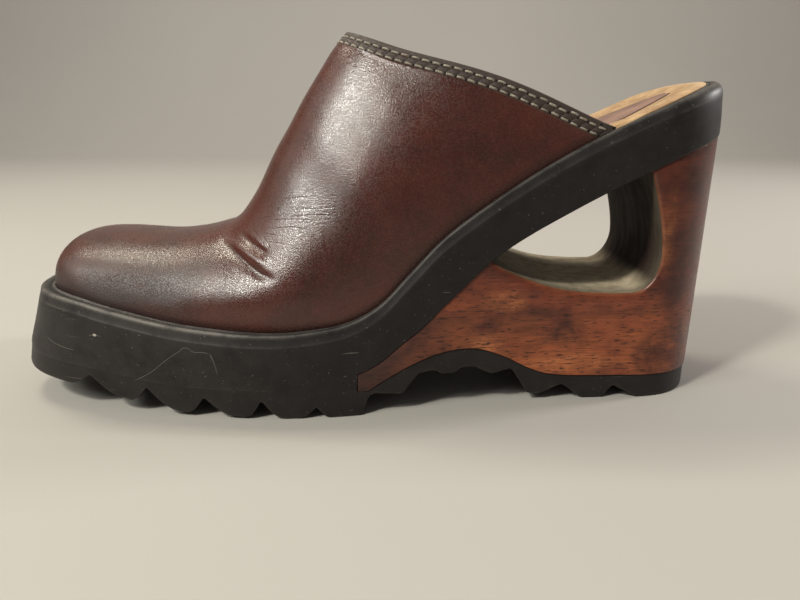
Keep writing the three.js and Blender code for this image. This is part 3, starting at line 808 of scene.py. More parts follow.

# %% [markdown]
# ## Creases set one by one
# Leather remembers the foot. The clog bends just behind the toe box, so a fold runs down each side there
# with a roll of leather behind it, and smaller ones follow where the instep begins. Each row is a path on
# the surface with a depth and a width, and where a third number is given, the slope below the path is that
# wide. Negative is a trough, positive a ridge. Long shallow waves keep the rest from being too even.

# %% Folds
def fold(path, depth, wide, below=None):
    return {"path": np.array(path, float), "depth": depth, "wide": wide, "below": below or wide}


FOLDS = [
    fold([
        (77.7, -19.1, 57.8), (81.5, -24.6, 56.4), (84.6, -28.3, 55.1), (87.8, -31.6, 53.3),
        (91.8, -35, 50.8), (95.6, -37.9, 48.8), (99.2, -39.5, 47.8), (102, -40.3, 47.4),
    ], -0.75, 1.0, 2.0),
    fold([
        (80.7, -21.2, 58), (83.6, -26, 57), (86.8, -29.2, 56.1), (89.7, -31.8, 54.9),
        (92.4, -34, 53.7), (94.7, -35.5, 52.5), (97.2, -36.9, 51.4), (99.4, -38, 50.7),
    ], 0.7, 1.7),
    fold([
        (84.1, -19.7, 60.4), (87.8, -25.5, 59.4), (91, -29.2, 58), (93.9, -32.1, 56.5),
        (96.6, -34.3, 55.3), (99.2, -35.8, 54.4),
    ], -0.5, 1.0),
    fold([(89.3, -25.8, 60.5), (92.5, -29.4, 59.1), (95.7, -32.5, 57.3), (98.3, -34.3, 56)], 0.22, 1.1),
    fold([(80, -4, 62.6), (79, 4, 62.2), (80, 12, 61.4), (83, 20, 59.8)], -0.4, 2.4),
    fold([(78, 16, 60.5), (84, 24, 57.5), (91, 30, 53), (98, 34, 48.5)], -0.95, 1.2, 2.6),
    fold([(82, 17, 61.5), (88, 24, 58.8), (95, 30, 54.5), (101, 33.5, 50)], 0.62, 1.8),
    fold([(94, 22, 66), (99, 27, 62), (104, 31, 56)], -0.3, 1.2),
]
UP_THE_INSTEP = np.array([0.6, 0.0, 0.8])


def fold_relief(points):
    relief = np.zeros(len(points))
    for item in FOLDS:
        path = item["path"]
        near_path = np.full(len(points), 1e9)
        share, above = np.zeros(len(points)), np.zeros(len(points))
        for k in range(len(path) - 1):
            step = path[k + 1] - path[k]
            t = np.clip(((points - path[k]) @ step) / (step @ step), 0, 1)
            away = points - (path[k] + t[:, None] * step)
            far = np.linalg.norm(away, axis=1)
            closer = far < near_path
            share = np.where(closer, (k + t) / (len(path) - 1), share)
            above = np.where(closer, away @ UP_THE_INSTEP, above)
            near_path = np.minimum(far, near_path)
        wide = mix(item["below"], item["wide"], smooth(above, -0.6, 0.6))
        ends = smooth(share, 0, 0.35) * smooth(1 - share, 0, 0.28)
        relief += item["depth"] * ends * np.exp(-((near_path / wide) ** 2))
    return relief


def gentle_waves(points):
    x, y, z = points.T
    broad = 0.16 * np.sin(x / 9.0 + 0.7 * np.sin(z / 13.0)) * np.sin(z / 8.0 + y / 17.0)
    narrow = 0.1 * np.sin(x / 4.3 + z / 5.1)
    return broad + narrow


print(len(FOLDS), "folds")

# %% [markdown]
# ## Building the skin with a real wall
# The outer face, the skirt that goes down into the tray and the reverse side are one closed band of
# columns, and a rounded edge joins both sides along the topline. The last 5 mm are folded over and
# stitched, so they stand a little proud. Rows and columns are gathered where the folds are.

# %% Upper mesh
ROWS, COLUMNS = 215, 172


def gathered(amount, low, high, extra, mirrored=False):
    fine = np.linspace(0, 1, 2001)
    weight = 1 + extra * smooth(fine, low - 0.08, low) * (1 - smooth(fine, high, high + 0.08))
    if mirrored:
        weight = np.maximum(weight, weight[::-1])
    total = np.concatenate([[0], np.cumsum((weight[1:] + weight[:-1]) / 2)])
    return np.interp(np.linspace(0, total[-1], amount), total, fine)


angles = np.pi * gathered(COLUMNS, 0.1, 0.42, 0.9, mirrored=True)
fold_start = station_at(BINDING, angles)
row_station = [t * fold_start for t in gathered(ROWS, 0.48, 0.76, 1.1)]
row_proud, row_share = [0.0] * ROWS, [0.0] * ROWS
for t in (0.03, 0.07, 0.11, 0.16, *np.linspace(0.22, 1, 10)):
    row_station.append(mix(fold_start, 1.0, t))
    row_proud.append(BINDING_STEP * float(smooth(t, 0, 0.16)))
    row_share.append(t)
row_station, row_proud = np.array(row_station), np.array(row_proud)
station_grid = np.broadcast_to(row_station, (len(row_station), COLUMNS))
angle_grid = np.broadcast_to(angles, station_grid.shape)
base_grid = upper_point(station_grid, angle_grid)
base_grid[0] = upper_point(np.zeros(COLUMNS), angles)


def grid_normals(grid):
    down = np.gradient(grid, axis=0)
    across = np.gradient(grid, axis=1)
    normal = np.cross(down, across)
    size = np.linalg.norm(normal, axis=-1, keepdims=True)
    return normal / np.maximum(size, 1e-9)


normals = grid_normals(base_grid)
normals[0] = (-1, 0, 0)
surface = base_grid.reshape(-1, 3)
foot_hold = smooth(np.minimum(angle_grid, np.pi - angle_grid), 0.02, 0.28).ravel()
toe_hold = smooth(station_grid, 0.02, 0.12).ravel()
edge_hold = 1 - smooth(row_proud / BINDING_STEP, 0, 1)[:, None] * np.ones(COLUMNS)
relief = (fold_relief(surface) + gentle_waves(surface)) * foot_hold * toe_hold * edge_hold.ravel()
relief = relief.reshape(station_grid.shape)
outer = base_grid + normals * (relief + row_proud[:, None])[..., None]
inner = base_grid + normals * (relief * (relief < 0) - WALL)[..., None]
outer[0] = base_grid[0]
inner[0] = base_grid[0] + [WALL, 0, 0]
for j in (0, -1):
    flat_normal = normals[1:, j] * [1, 1, 0]
    flat_normal /= np.linalg.norm(flat_normal, axis=1, keepdims=True)
    inner[1:, j] = base_grid[1:, j] - WALL * flat_normal


def skirt(grid, j):
    low = grid[:, j].copy()
    low[:, 2] = ledge(low[:, 0]) - RECESS + 2 * GAP
    return low[:, None]


LIP = (1 - np.cos(np.pi * np.linspace(0, 1, 7))) / 2
EDGE_ROUND = 0.75


def under_foot(first, second):
    return np.concatenate([mix(first, second, w) for w in LIP[1:-1]], 1)


low_outer = skirt(outer, 0), skirt(outer, -1)
low_inner = skirt(inner, 0), skirt(inner, -1)
band = np.concatenate([
    low_outer[0], outer, low_outer[1], under_foot(low_outer[1], low_inner[1]),
    low_inner[1], inner[:, ::-1], low_inner[0], under_foot(low_inner[0], low_outer[0]),
], 1)
points, faces = skin(band)
wide = band.shape[1]
rim_out = np.concatenate([low_outer[0][-1], outer[-1], low_outer[1][-1]])
rim_in = np.concatenate([low_inner[0][-1], inner[-1], low_inner[1][-1]])
ahead = outer[-1] - outer[-2]
ahead = np.concatenate([ahead[:1] * 0, ahead, ahead[:1] * 0])
ahead /= np.maximum(np.linalg.norm(ahead, axis=1, keepdims=True), 1e-9)
rim_rows = [mix(rim_out, rim_in, w) + ahead * EDGE_ROUND * (4 * w * (1 - w)) ** 0.4 for w in LIP]
rim_points, rim_faces = skin(rim_rows, closed=False)
faces = [face[::-1] for face in faces] + [[i + len(points) for i in face[::-1]] for face in rim_faces]
upper = make_object("upper_leather", np.concatenate([points, rim_points]), faces, 60)
count(upper)

# %% [markdown]
# Masks for the leather's material are worked out in the shoe's own sizes and kept as point attributes, so
# the shader knows where the folded edge, the darker toe side, the painted shade of the creases and of the
# leather's foot at the rim, and the instep wrinkles are.

# %% Masks of the upper
def patch(points, centre, size):
    away = (points - np.array(centre)) / np.array(size)
    return np.exp(-(away**2).sum(1))


everything = np.concatenate([points, rim_points])
on_band = np.concatenate([
    np.repeat(smooth(row_proud / BINDING_STEP, 0.2, 1), wide),
    np.ones(len(rim_points)),
])
side_stain = np.clip(1.2 * patch(everything, (44, -36, 43), (34, 20, 8.5)), 0, 1)
stain = side_stain + 0.6 * patch(everything, (18, -16, 42), (8, 20, 5))
instep = patch(everything, (106, -31, 67), (15, 15, 9)) + patch(everything, (106, 27, 66), (15, 15, 9))
# Painted shade in the troughs of the folds.
fold_and_foot_shade = np.clip(-fold_relief(everything) / 1.5, 0, 1)
# Painted shadow along the leather's foot, within about 2 mm of the ledge where it meets the rim.
fold_and_foot_shade = np.maximum(fold_and_foot_shade, 1 - smooth(everything[:, 2] - ledge(everything[:, 0]), 0.3, 2.4))
lining = np.zeros(band.shape[:2])
lining[:, COLUMNS + 4:] = 1
lining = np.concatenate([lining.ravel(), np.repeat(LIP > 0.8, len(rim_out)).astype(float)])
seam_along = np.zeros(band.shape[:2])
seam_along[:, 1:COLUMNS + 1] = topline_length(angles)
seam_depth = np.full(band.shape[:2], 20.0)
seam_depth[ROWS:, 1:COLUMNS + 1] = (BINDING * (1 - np.array(row_share[ROWS:])))[:, None]
seam_along = np.concatenate([seam_along.ravel(), np.zeros(len(rim_points))])
seam_depth = np.concatenate([seam_depth.ravel(), np.zeros(len(rim_points))])
for name, values in (
    ("band", on_band), ("stain", stain), ("instep", instep), ("fold_and_foot_shade", fold_and_foot_shade), ("lining", lining),
    ("seam_along", seam_along), ("seam_depth", seam_depth),
):
    add_layer(upper, name, values)
weld(upper)
count(upper)

# %% [markdown]
# ## Footbed and heel pad
# The footbed is a thin board with foam under tan suede. Its border is soft and stands a little proud, and
# its middle is pressed hollow. Under the upper it narrows to stay clear of the leather's wall. The heel pad
# is smooth leather, round in front and narrow behind. Its two pointed ends keep a width of 0.06 mm, so that
# its mesh stays closed.

# %% Insole
TOPLINE_FOOT = 0.828
BORDER_RISE = table("at up", [
    (0.0, 0.20), (0.04, 0.50), (0.12, 0.75), (0.25, 0.94), (0.4, 1.0),
    (0.6, 0.86), (0.8, 0.45), (1.0, 0.12), (1.3, 0.0),
])
INSOLE_STEPS = (
    0.0, 0.02, 0.05, 0.1, 0.16, 0.24, 0.32, 0.4, 0.48, 0.56, 0.64, 0.72, 0.8, 0.9, 1.0, 1.15, 1.3,
)
BORDER_TOP = 0.4
RIPPLE = 0.10


def insole_inset(share):
    free = smooth(share, TOPLINE_FOOT + 0.004, TOPLINE_FOOT + 0.03)
    return tray_edge(share) + GAP + (1 - free) * (WALL + 2 * GAP + 0.4)


def insole_height(t):
    top, low = CROWN, CROWN - DISH
    rise = float(np.interp(t, BORDER_RISE["at"], BORDER_RISE["up"]))
    if t <= BORDER_TOP:
        return top * rise
    return low + (top - low) * rise


shares = stations(240, [TOPLINE_FOOT])
rows = [ring(shares, insole_inset, lambda x, s: ledge(x) - RECESS + GAP)]
for t in INSOLE_STEPS:
    rows.append(ring(
        shares,
        lambda s: insole_inset(s) + t * BORDER,
        lambda x, s: ledge(x) + insole_height(t) + RIPPLE * np.sin(x / 3.1 + 5 * t) * (0.2 < t < 0.9),
    ))
insole = stack("insole_suede", rows, 50)
count(insole)

# %% Heel pad
PAD = table("at half", [
    (0.620, 0.00), (0.622, 0.30), (0.630, 0.62), (0.650, 0.86), (0.690, 1.00), (0.790, 1.00),
    (0.850, 0.86), (0.895, 0.58), (0.925, 0.30), (0.936, 0.14), (0.939, 0.00),
])
PAD_ROWS = table("shrink lift rim", [
    (0.00, -0.40, 1.0),
    (0.00, 0.10, 1.0),
    (0.12, 0.28, 1.0),
    (0.40, 0.36, 0.9),
    (0.90, 0.30, 0.5),
    (1.30, 0.30, 0.1),
    (2.50, 0.40, 0.0),
    (7.00, 0.45, 0.0),
])
POINTED_END = 0.03
pad_half = curve(PAD, "half")
ends = (1 - np.cos(np.linspace(0, np.pi, 121))) / 2
pad_share = mix(PAD["at"][0], PAD["at"][-1], ends)


def pad_row(shrink, lift):
    half = np.maximum(pad_half(pad_share) * PAD_WIDTH / 2 - shrink, POINTED_END)
    pull = shrink * (fade(ends, 0.12) - fade(1 - ends, 0.12))
    x = pad_share * LENGTH + pull
    y = centre_line(pad_share) * HALF
    z = ledge(x) + CROWN - DISH + lift
    near = np.stack([x, y - half, z], 1)
    far = np.stack([x, y + half, z], 1)[1:-1][::-1]
    return np.concatenate([near, far])


pad_rows = [pad_row(shrink, lift) for shrink, lift, _ in each_row(PAD_ROWS)]
heel_pad = stack("heel_pad_leather", pad_rows, 60)
add_layer(heel_pad, "rim", np.repeat(PAD_ROWS["rim"], len(pad_rows[0])))
count(heel_pad)

# %% [markdown]
# ## Two rows of stitches
# Stitches repeat along a path, which is work for Geometry Nodes. A helper mesh holds one point for each
# stitch, with the direction of the seam and of the leather's surface as attributes. The tree sets one
# small bent thread on each point, turned to both directions, and varies its length a little.

# %% The stitching tree
SEWING_SEED = 11


def stitching_tree():
    tree = bpy.data.node_groups.new("set along a seam", "GeometryNodeTree")
    face = tree.interface
    face.new_socket("Geometry", in_out="OUTPUT", socket_type="NodeSocketGeometry")
    for label, kind in (
        ("Seam points", "NodeSocketGeometry"),
        ("Item", "NodeSocketObject"),
        ("Size", "NodeSocketFloat"),
        ("Size spread", "NodeSocketFloat"),
        ("Finish", "NodeSocketMaterial"),
    ):
        face.new_socket(label, in_out="INPUT", socket_type=kind)
    nodes, link = tree.nodes, tree.links.new
    given, result = nodes.new("NodeGroupInput"), nodes.new("NodeGroupOutput")
    item = nodes.new("GeometryNodeObjectInfo")
    along = nodes.new("GeometryNodeInputNamedAttribute")
    out = nodes.new("GeometryNodeInputNamedAttribute")
    for reader, name in ((along, "along"), (out, "out")):
        reader.data_type = "FLOAT_VECTOR"
        reader.inputs["Name"].default_value = name
    turn_x = nodes.new("FunctionNodeAlignRotationToVector")
    turn_x.axis = "X"
    turn_z = nodes.new("FunctionNodeAlignRotationToVector")
    turn_z.axis, turn_z.pivot_axis = "Z", "X"
    low, high = nodes.new("ShaderNodeMath"), nodes.new("ShaderNodeMath")
    low.operation, high.operation = "SUBTRACT", "ADD"
    vary = nodes.new("FunctionNodeRandomValue")
    vary.data_type = "FLOAT"
    vary.inputs["Seed"].default_value = SEWING_SEED
    setter = nodes.new("GeometryNodeInstanceOnPoints")
    real = nodes.new("GeometryNodeRealizeInstances")
    finish = nodes.new("GeometryNodeSetMaterial")
    link(given.outputs["Item"], item.inputs["Object"])
    link(along.outputs["Attribute"], turn_x.inputs["Vector"])
    link(turn_x.outputs["Rotation"], turn_z.inputs["Rotation"])
    link(out.outputs["Attribute"], turn_z.inputs["Vector"])
    for sum_node in (low, high):
        link(given.outputs["Size"], sum_node.inputs[0])
        link(given.outputs["Size spread"], sum_node.inputs[1])
    floats = [socket for socket in vary.inputs if socket.type == "VALUE" and socket.enabled]
    link(low.outputs[0], floats[0])
    link(high.outputs[0], floats[1])
    link(given.outputs["Seam points"], setter.inputs["Points"])
    link(item.outputs["Geometry"], setter.inputs["Instance"])
    link(turn_z.outputs["Rotation"], setter.inputs["Rotation"])
    link(next(o for o in vary.outputs if o.type == "VALUE" and o.enabled), setter.inputs["Scale"])
    link(setter.outputs["Instances"], real.inputs["Geometry"])
    link(real.outputs["Geometry"], finish.inputs["Geometry"])
    link(given.outputs["Finish"], finish.inputs["Material"])
    link(finish.outputs["Geometry"], result.inputs["Geometry"])
    return tree


seam_tree = stitching_tree()
print(seam_tree.name, "has", len(seam_tree.nodes), "nodes")

# %% Seam paths
SEAM_END = 0.6


def seam_path(distance, shift=0.0):
    turn = np.linspace(0, np.pi, 1200)
    length = topline_length(turn)
    stops = np.arange(SEAM_END + shift * STITCH_PITCH, length[-1] - SEAM_END, STITCH_PITCH)
    here_turn = np.interp(stops, length, turn)
    at = station_at(distance, here_turn)
    here = upper_point(at, here_turn)
    along = upper_point(at, here_turn + 0.004) - upper_point(at, here_turn - 0.004)
    ahead = upper_point(at + 0.002, here_turn) - upper_point(at - 0.002, here_turn)
    out = np.cross(ahead, along)
    out /= np.linalg.norm(out, axis=1, keepdims=True)
    return here + out * BINDING_STEP, along, out


def helper(name, points, faces=()):
    mesh = bpy.data.meshes.new(name)
    mesh.from_pydata([tuple(float(v) for v in p) for p in points], [], list(faces))
    thing = bpy.data.objects.new(name, mesh)
    bpy.context.scene.collection.objects.link(thing)
    return thing


def seam_points(name, paths):
    here, along, out = (np.concatenate(part) for part in zip(*paths))
    thing = helper(name, (here - [LENGTH / 2, 0, 0]) * MM)
    for label, values in (("along", along), ("out", out)):
        layer = thing.data.attributes.new(label, "FLOAT_VECTOR", "POINT")
        layer.data.foreach_set("vector", values.ravel())
    return thing


def sew(name, spots, item, size, spread, finish):
    change = spots.modifiers.new("sewing", "NODES")
    change.node_group = seam_tree
    sockets = {s.name: s.identifier for s in seam_tree.interface.items_tree if s.in_out == "INPUT"}
    for label, value in (("Item", item), ("Size", size), ("Size spread", spread), ("Finish", finish)):
        change[sockets[label]] = value
    bpy.context.view_layer.update()
    seen = spots.evaluated_get(bpy.context.evaluated_depsgraph_get())
    mesh = bpy.data.meshes.new_from_object(seen)
    mesh.name = name
    mesh.materials.clear()
    mesh.materials.append(finish)
    mesh.polygons.foreach_set("material_index", [0] * len(mesh.polygons))
    mesh.polygons.foreach_set("use_smooth", [True] * len(mesh.polygons))
    piece = bpy.data.objects.new(name, mesh)
    bpy.context.scene.collection.objects.link(piece)
    spots.modifiers.remove(change)
    for thing in (spots, item):
        bpy.data.objects.remove(thing)
    count(piece)
    return piece


# %% [markdown]
# One stitch is a thread 0.7 mm thick and 3 mm long that rises out of the leather and dives back in. The
# needle hole at each end is a small dark disc with a sloping edge, 1 mm across, between two threads; its
# dark colour is painted shade for the hole.

# %% Thread and needle hole shade
THREAD_RADIUS, THREAD_HALF, THREAD_SIDES = 0.34, 1.5, 8
HOLE_HALF, HOLE_SIDES = (0.5, 0.45), 10


def tube_faces(rings, sides):
    faces = [
        [i * sides + k, i * sides + (k + 1) % sides, (i + 1) * sides + (k + 1) % sides, (i + 1) * sides + k]
        for i in range(rings - 1) for k in range(sides)
    ]
    last = (rings - 1) * sides
    return faces + [list(range(sides))[::-1], list(range(last, last + sides))]


def thread_item():
    points = []
    along = np.linspace(-1, 1, 9)
    for t in along:
        x, z = THREAD_HALF * t, 0.20 - 0.5 * abs(t) ** 2.2
        thick = THREAD_RADIUS * (1 - 0.3 * abs(t) ** 4)
        for k in range(THREAD_SIDES):
            a = 2 * math.pi * k / THREAD_SIDES
            points.append((x, thick * math.cos(a) * 1.1, z + thick * math.sin(a) * 0.9))
    return helper("thread item", np.array(points) * MM, tube_faces(len(along), THREAD_SIDES))


def hole_shade_disc():
    turn = np.linspace(0, 2 * math.pi, HOLE_SIDES, endpoint=False)
    middle = [(HOLE_HALF[0] * math.cos(a), HOLE_HALF[1] * math.sin(a), 0.0) for a in turn]
    bottom = [(x, y, -0.25) for x, y, _ in middle]
    top = [(x * 0.6, y * 0.6, 0.09) for x, y, _ in middle]
    points = bottom + middle + top
    return helper("hole item", np.array(points) * MM, tube_faces(3, HOLE_SIDES))


print("items ready")

# %% [markdown]
# ## Finishes
# Every finish is built from procedural nodes on Object coordinates, so a pattern has a real scale in
# metres: a pebble scale of 2500 gives leather pebbles of 0.4 mm. These helpers keep each finish short.
# `window` maps a range of values softly to another, and `tint` lays one colour over another.

# %% Node helpers
def shade(red, green, blue):
    parts = [c / 255 for c in (red, green, blue)]
    return tuple(c / 12.92 if c <= 0.04045 else ((c + 0.055) / 1.055) ** 2.4 for c in parts) + (1.0,)


def new_finish(name, **fixed):
    material = bpy.data.materials.new(name)
    material.use_nodes = True
    tree = material.node_tree
    shader = tree.nodes["Principled BSDF"]
    for label, value in fixed.items():
        shader.inputs[label.replace("_", " ")].default_value = value
    place = tree.nodes.new("ShaderNodeTexCoord").outputs["Object"]
    return material, tree, shader, place


def put(tree, kind, result, given, **settings):
    node = tree.nodes.new(kind)
    for label, value in settings.items():
        setattr(node, label, value)
    for label, value in given.items():
        if isinstance(value, bpy.types.NodeSocket):
            tree.links.new(value, node.inputs[label])
        else:
            node.inputs[label].default_value = value
    return node.outputs[result]


def noise(tree, place, scale, detail=3.0, rough=0.55, warp=0.0):
    given = {"Vector": place, "Scale": scale, "Detail": detail, "Roughness": rough, "Distortion": warp}
    return put(tree, "ShaderNodeTexNoise", "Fac", given)


def pebbles(tree, place, scale, soft=0.35):
    given = {"Vector": place, "Scale": scale, "Smoothness": soft, "Randomness": 1.0}
    return put(tree, "ShaderNodeTexVoronoi", "Distance", given, feature="SMOOTH_F1")


def stretched(tree, place, scale, turn=(0.0, 0.0, 0.0)):
    return put(tree, "ShaderNodeMapping", "Vector", {"Vector": place, "Scale": scale, "Rotation": turn})


def window(tree, value, low, high, to_low=0.0, to_high=1.0):
    given = {"Value": value, "From Min": low, "From Max": high, "To Min": to_low, "To Max": to_high}
    return put(tree, "ShaderNodeMapRange", "Result", given, interpolation_type="SMOOTHSTEP")


def sums(tree, kind, first, second):
    node = tree.nodes.new("ShaderNodeMath")
    node.operation = kind
    for i, value in enumerate((first, second)):
        if isinstance(value, bpy.types.NodeSocket):
            tree.links.new(value, node.inputs[i])
        else:
            node.inputs[i].default_value = value
    return node.outputs[0]


def plus(tree, first, second):
    return sums(tree, "ADD", first, second)


def minus(tree, first, second):
    return sums(tree, "SUBTRACT", first, second)


def times(tree, first, second):
    return sums(tree, "MULTIPLY", first, second)


def larger(tree, first, second):
    return sums(tree, "MAXIMUM", first, second)


def size_of(tree, value):
    return sums(tree, "ABSOLUTE", value, 0.0)


def tint(tree, share, first, second):
    node = tree.nodes.new("ShaderNodeMix")
    node.data_type = "RGBA"
    for i, value in ((0, share), (6, first), (7, second)):
        if isinstance(value, bpy.types.NodeSocket):
            tree.links.new(value, node.inputs[i])
        else:
            node.inputs[i].default_value = value
    return node.outputs[2]


def relief_of(tree, height, strength, distance, under=None):
    given = {"Height": height, "Strength": strength, "Distance": distance}
    if under is not None:
        given["Normal"] = under
    return put(tree, "ShaderNodeBump", "Normal", given)


def mark(tree, name):
    return put(tree, "ShaderNodeAttribute", "Fac", {}, attribute_name=name)


def axis_of(tree, vector, axis):
    return put(tree, "ShaderNodeSeparateXYZ", axis, {"Vector": vector})


print("node helpers ready")

# %% [markdown]
# A scratch or a wrinkle with a known place is a soft line through a few points, seen from the outer side.
# A float curve gives the line's height for each x, and the distance to that height makes the line. A soft
# spot is an ellipse, also seen from the side. Lines stay on the outer side, and spots go right across.

# %% Lines and spots with a place
def fine_line(tree, place, path, wide, fade_share=0.25):
    path = np.array(path, float) * MM
    low, high = path.min(0) - 0.0001, path.max(0) + 0.0001
    inside_box = (path - low) / (high - low)
    start, end = float(inside_box[0, 0]), float(inside_box[-1, 0])
    x = plus(tree, axis_of(tree, place, "X"), LENGTH / 2 * MM)
    reach = {"Value": x, "From Min": low[0], "From Max": high[0]}
    along = put(tree, "ShaderNodeMapRange", "Result", reach)
    bend = tree.nodes.new("ShaderNodeFloatCurve")
    knots = bend.mapping.curves[0].points
    knots[0].location, knots[-1].location = inside_box[0], inside_box[-1]
    for knot in inside_box[1:-1]:
        knots.new(float(knot[0]), float(knot[1]))
    bend.mapping.update()
    tree.links.new(along, bend.inputs["Value"])
    rise = times(tree, bend.outputs["Value"], float(high[1] - low[1]))
    up = plus(tree, rise, float(low[1]))
    away = size_of(tree, minus(tree, axis_of(tree, place, "Z"), up))
    line = window(tree, away, 0.0, wide * MM, 1.0, 0.0)
    line = times(tree, line, window(tree, along, start, start + fade_share))
    line = times(tree, line, window(tree, along, end, end - fade_share))
    return times(tree, line, window(tree, axis_of(tree, place, "Y"), -0.01, -0.014))


def fine_lines(tree, place, paths, wide, fade_share=0.25):
    total = fine_line(tree, place, paths[0], wide, fade_share)
    for path in paths[1:]:
        total = larger(tree, total, fine_line(tree, place, path, wide, fade_share))
    return total


def soft_spot(tree, place, along, up, long, tall):
    middle = ((along - LENGTH / 2) * MM, 0.0, up * MM)
    spread = (1 / (long * MM), 0.0, 1 / (tall * MM))
    moved = put(tree, "ShaderNodeVectorMath", "Vector", {0: place, 1: middle}, operation="SUBTRACT")
    scaled = put(tree, "ShaderNodeVectorMath", "Vector", {0: moved, 1: spread}, operation="MULTIPLY")
    away = put(tree, "ShaderNodeVectorMath", "Value", {0: scaled}, operation="LENGTH")
    return window(tree, away, 0.35, 1.3, 1.0, 0.0)


def soft_spots(tree, place, spots):
    total = soft_spot(tree, place, *spots[0])
    for spot in spots[1:]:
        total = larger(tree, total, soft_spot(tree, place, *spot))
    return total


def dress(tree, shader, **sockets):
    for label, value in sockets.items():
        tree.links.new(value, shader.inputs[label.replace("_", " ")])


print("lines and spots ready")

# %% [markdown]
# ### Chestnut leather
# Waxed leather is mottled, shade is painted darker in the folds, in the wrinkles and along its foot at the
# rim, and its gloss breaks up over a fine pebble grain. The bump is kept small, because steep pebbles spread
# a highlight, and fine noise in the roughness gives the sparkle instead. The folded edge with a greyer
# painted sheen, the reverse side, the stained toe side, the folds and the stretched instep with its level
# wrinkles take their places from the masks.

# %% Fine wrinkles, seen from the outer side as (along, up)
INSTEP_WRINKLES = [
    [(104.6, 68.4), (110.6, 69.3), (117.4, 69.8), (122.4, 70.7)],
    [(103.3, 66.4), (108.2, 66.9), (116.7, 67.6), (122.4, 66.9)],
    [(97.0, 64.6), (103.9, 65.7), (110.8, 65.9), (114.1, 64.9)],
    [(97.9, 62.4), (102.0, 63.0), (107.7, 63.4), (112.7, 61.6)],
    [(95.4, 60.3), (97.7, 60.7), (101.6, 60.5)],
    [(99.0, 71.2), (106.0, 72.6), (112.0, 73.1)],
    [(93.5, 57.9), (98.5, 58.4), (105.0, 57.6)],
    [(92.0, 63.4), (95.5, 65.4), (99.5, 66.4)],
]
CREASE_WRINKLES = [
    [(91.6, 59.6), (94.2, 57.8), (95.8, 56.1)],
    [(93.5, 60.1), (96, 57.9), (97.6, 55.9)],
    [(95.5, 60), (97.9, 57.8), (99.1, 56)],
    [(90.8, 62.0), (92.8, 60.9), (94.6, 59.4)],
]

# %% Leather
LEATHER = {
    "dark": shade(50, 21, 13),
    "light": shade(77, 33, 21),
    "fleck": shade(96, 50, 37),
    "grain": shade(40, 19, 16),
    "stain": shade(44, 30, 26),
    # The fold colour is painted shade for the fold troughs and the leather's foot at the rim.
    "fold": shade(30, 12, 10),
    # The folded edge's greyer tone is painted sheen on the same leather.
    "folded edge sheen": shade(46, 38, 31),
    "reverse": shade(150, 112, 80),
    # Painted shade for the wrinkle lines.
    "wrinkle shade": shade(36, 18, 15),
}


def leather_bump(tree, place, line, grain):
    bump = relief_of(tree, noise(tree, place, 60.0, 3.0, 0.55, 0.8), 0.5, 0.0003)
    bump = relief_of(tree, times(tree, line, -1.0), 0.5, 0.0001, bump)
    bump = relief_of(tree, noise(tree, place, 2400.0, 3.0, 0.65), 0.6, 0.00004, bump)
    return relief_of(tree, times(tree, grain, -1.0), 0.9, 0.00006, bump)


def between_stitches(tree):
    beat = times(tree, mark(tree, "seam_along"), math.pi / STITCH_PITCH)
    beat = minus(tree, beat, SEAM_END * math.pi / STITCH_PITCH)
    beat = size_of(tree, sums(tree, "SINE", beat, 0.0))
    depth = mark(tree, "seam_depth")
    after_first = window(tree, depth, SEAMS[0], SEAMS[0] + 0.9)
    before_second = window(tree, depth, SEAMS[1], SEAMS[1] - 0.9)
    between = times(tree, after_first, before_second)
    return times(tree, sums(tree, "POWER", beat, 0.6), between)


def leather_finish():
    material, tree, shader, place = new_finish("chestnut leather", IOR=1.56)
    mottle = noise(tree, place, 42.0, 4.0, 0.6, 0.6)
    fine = noise(tree, place, 700.0, 3.0, 0.6)
    grain = pebbles(tree, place, 2500.0, 0.2)
    color = tint(tree, window(tree, mottle, 0.25, 0.78), LEATHER["dark"], LEATHER["light"])
    color = tint(tree, window(tree, fine, 0.35, 0.75, 0.0, 0.25), color, LEATHER["fleck"])
    color = tint(tree, window(tree, grain, 0.15, 0.75, 0.0, 0.25), color, LEATHER["grain"])
    stained = mark(tree, "stain")
    uneven = window(tree, noise(tree, place, 70.0), 0.3, 0.6, 0.55, 0.95)
    color = tint(tree, times(tree, stained, uneven), color, LEATHER["stain"])
    # Painted shade: darker in the fold troughs and along the foot at the rim.
    color = tint(tree, times(tree, mark(tree, "fold_and_foot_shade"), 0.7), color, LEATHER["fold"])
    # Painted sheen: the folded edge is tinted greyer, as a reflection would make it look.
    color = tint(tree, times(tree, mark(tree, "band"), 0.8), color, LEATHER["folded edge sheen"])
    color = tint(tree, mark(tree, "lining"), color, LEATHER["reverse"])
    level = noise(tree, stretched(tree, place, (60.0, 60.0, 640.0)), 1.0, 2.0, 0.5, 0.3)
    random_line = window(tree, size_of(tree, minus(tree, level, 0.5)), 0.0, 0.05, 0.45, 0.0)
    line = times(tree, random_line, mark(tree, "instep"))
    line = larger(tree, line, fine_lines(tree, place, INSTEP_WRINKLES, 0.4))
    line = larger(tree, line, fine_lines(tree, place, CREASE_WRINKLES, 0.5))
    # Painted shade in the wrinkle lines; the same lines are also pressed in as bump.
    color = tint(tree, times(tree, line, 0.25), color, LEATHER["wrinkle shade"])
    rough = window(tree, noise(tree, place, 95.0, 4.0, 0.65), 0.3, 0.75, 0.20, 0.28)
    sparkle = window(tree, noise(tree, place, 1800.0, 3.0, 0.6), 0.38, 0.62, -0.06, 0.15)
    rough = plus(tree, rough, sparkle)
    for mask, matt in (("stain", 0.34), ("band", 0.45), ("lining", 0.35)):
        rough = plus(tree, rough, times(tree, mark(tree, mask), matt))
    bump = leather_bump(tree, place, line, grain)
    bump = relief_of(tree, between_stitches(tree), 0.8, 0.0004, bump)
    dress(tree, shader, Base_Color=color, Roughness=rough, Normal=bump)
    return material


leather = leather_finish()
upper.data.materials.append(leather)
print("leather:", len(leather.node_tree.nodes), "nodes")
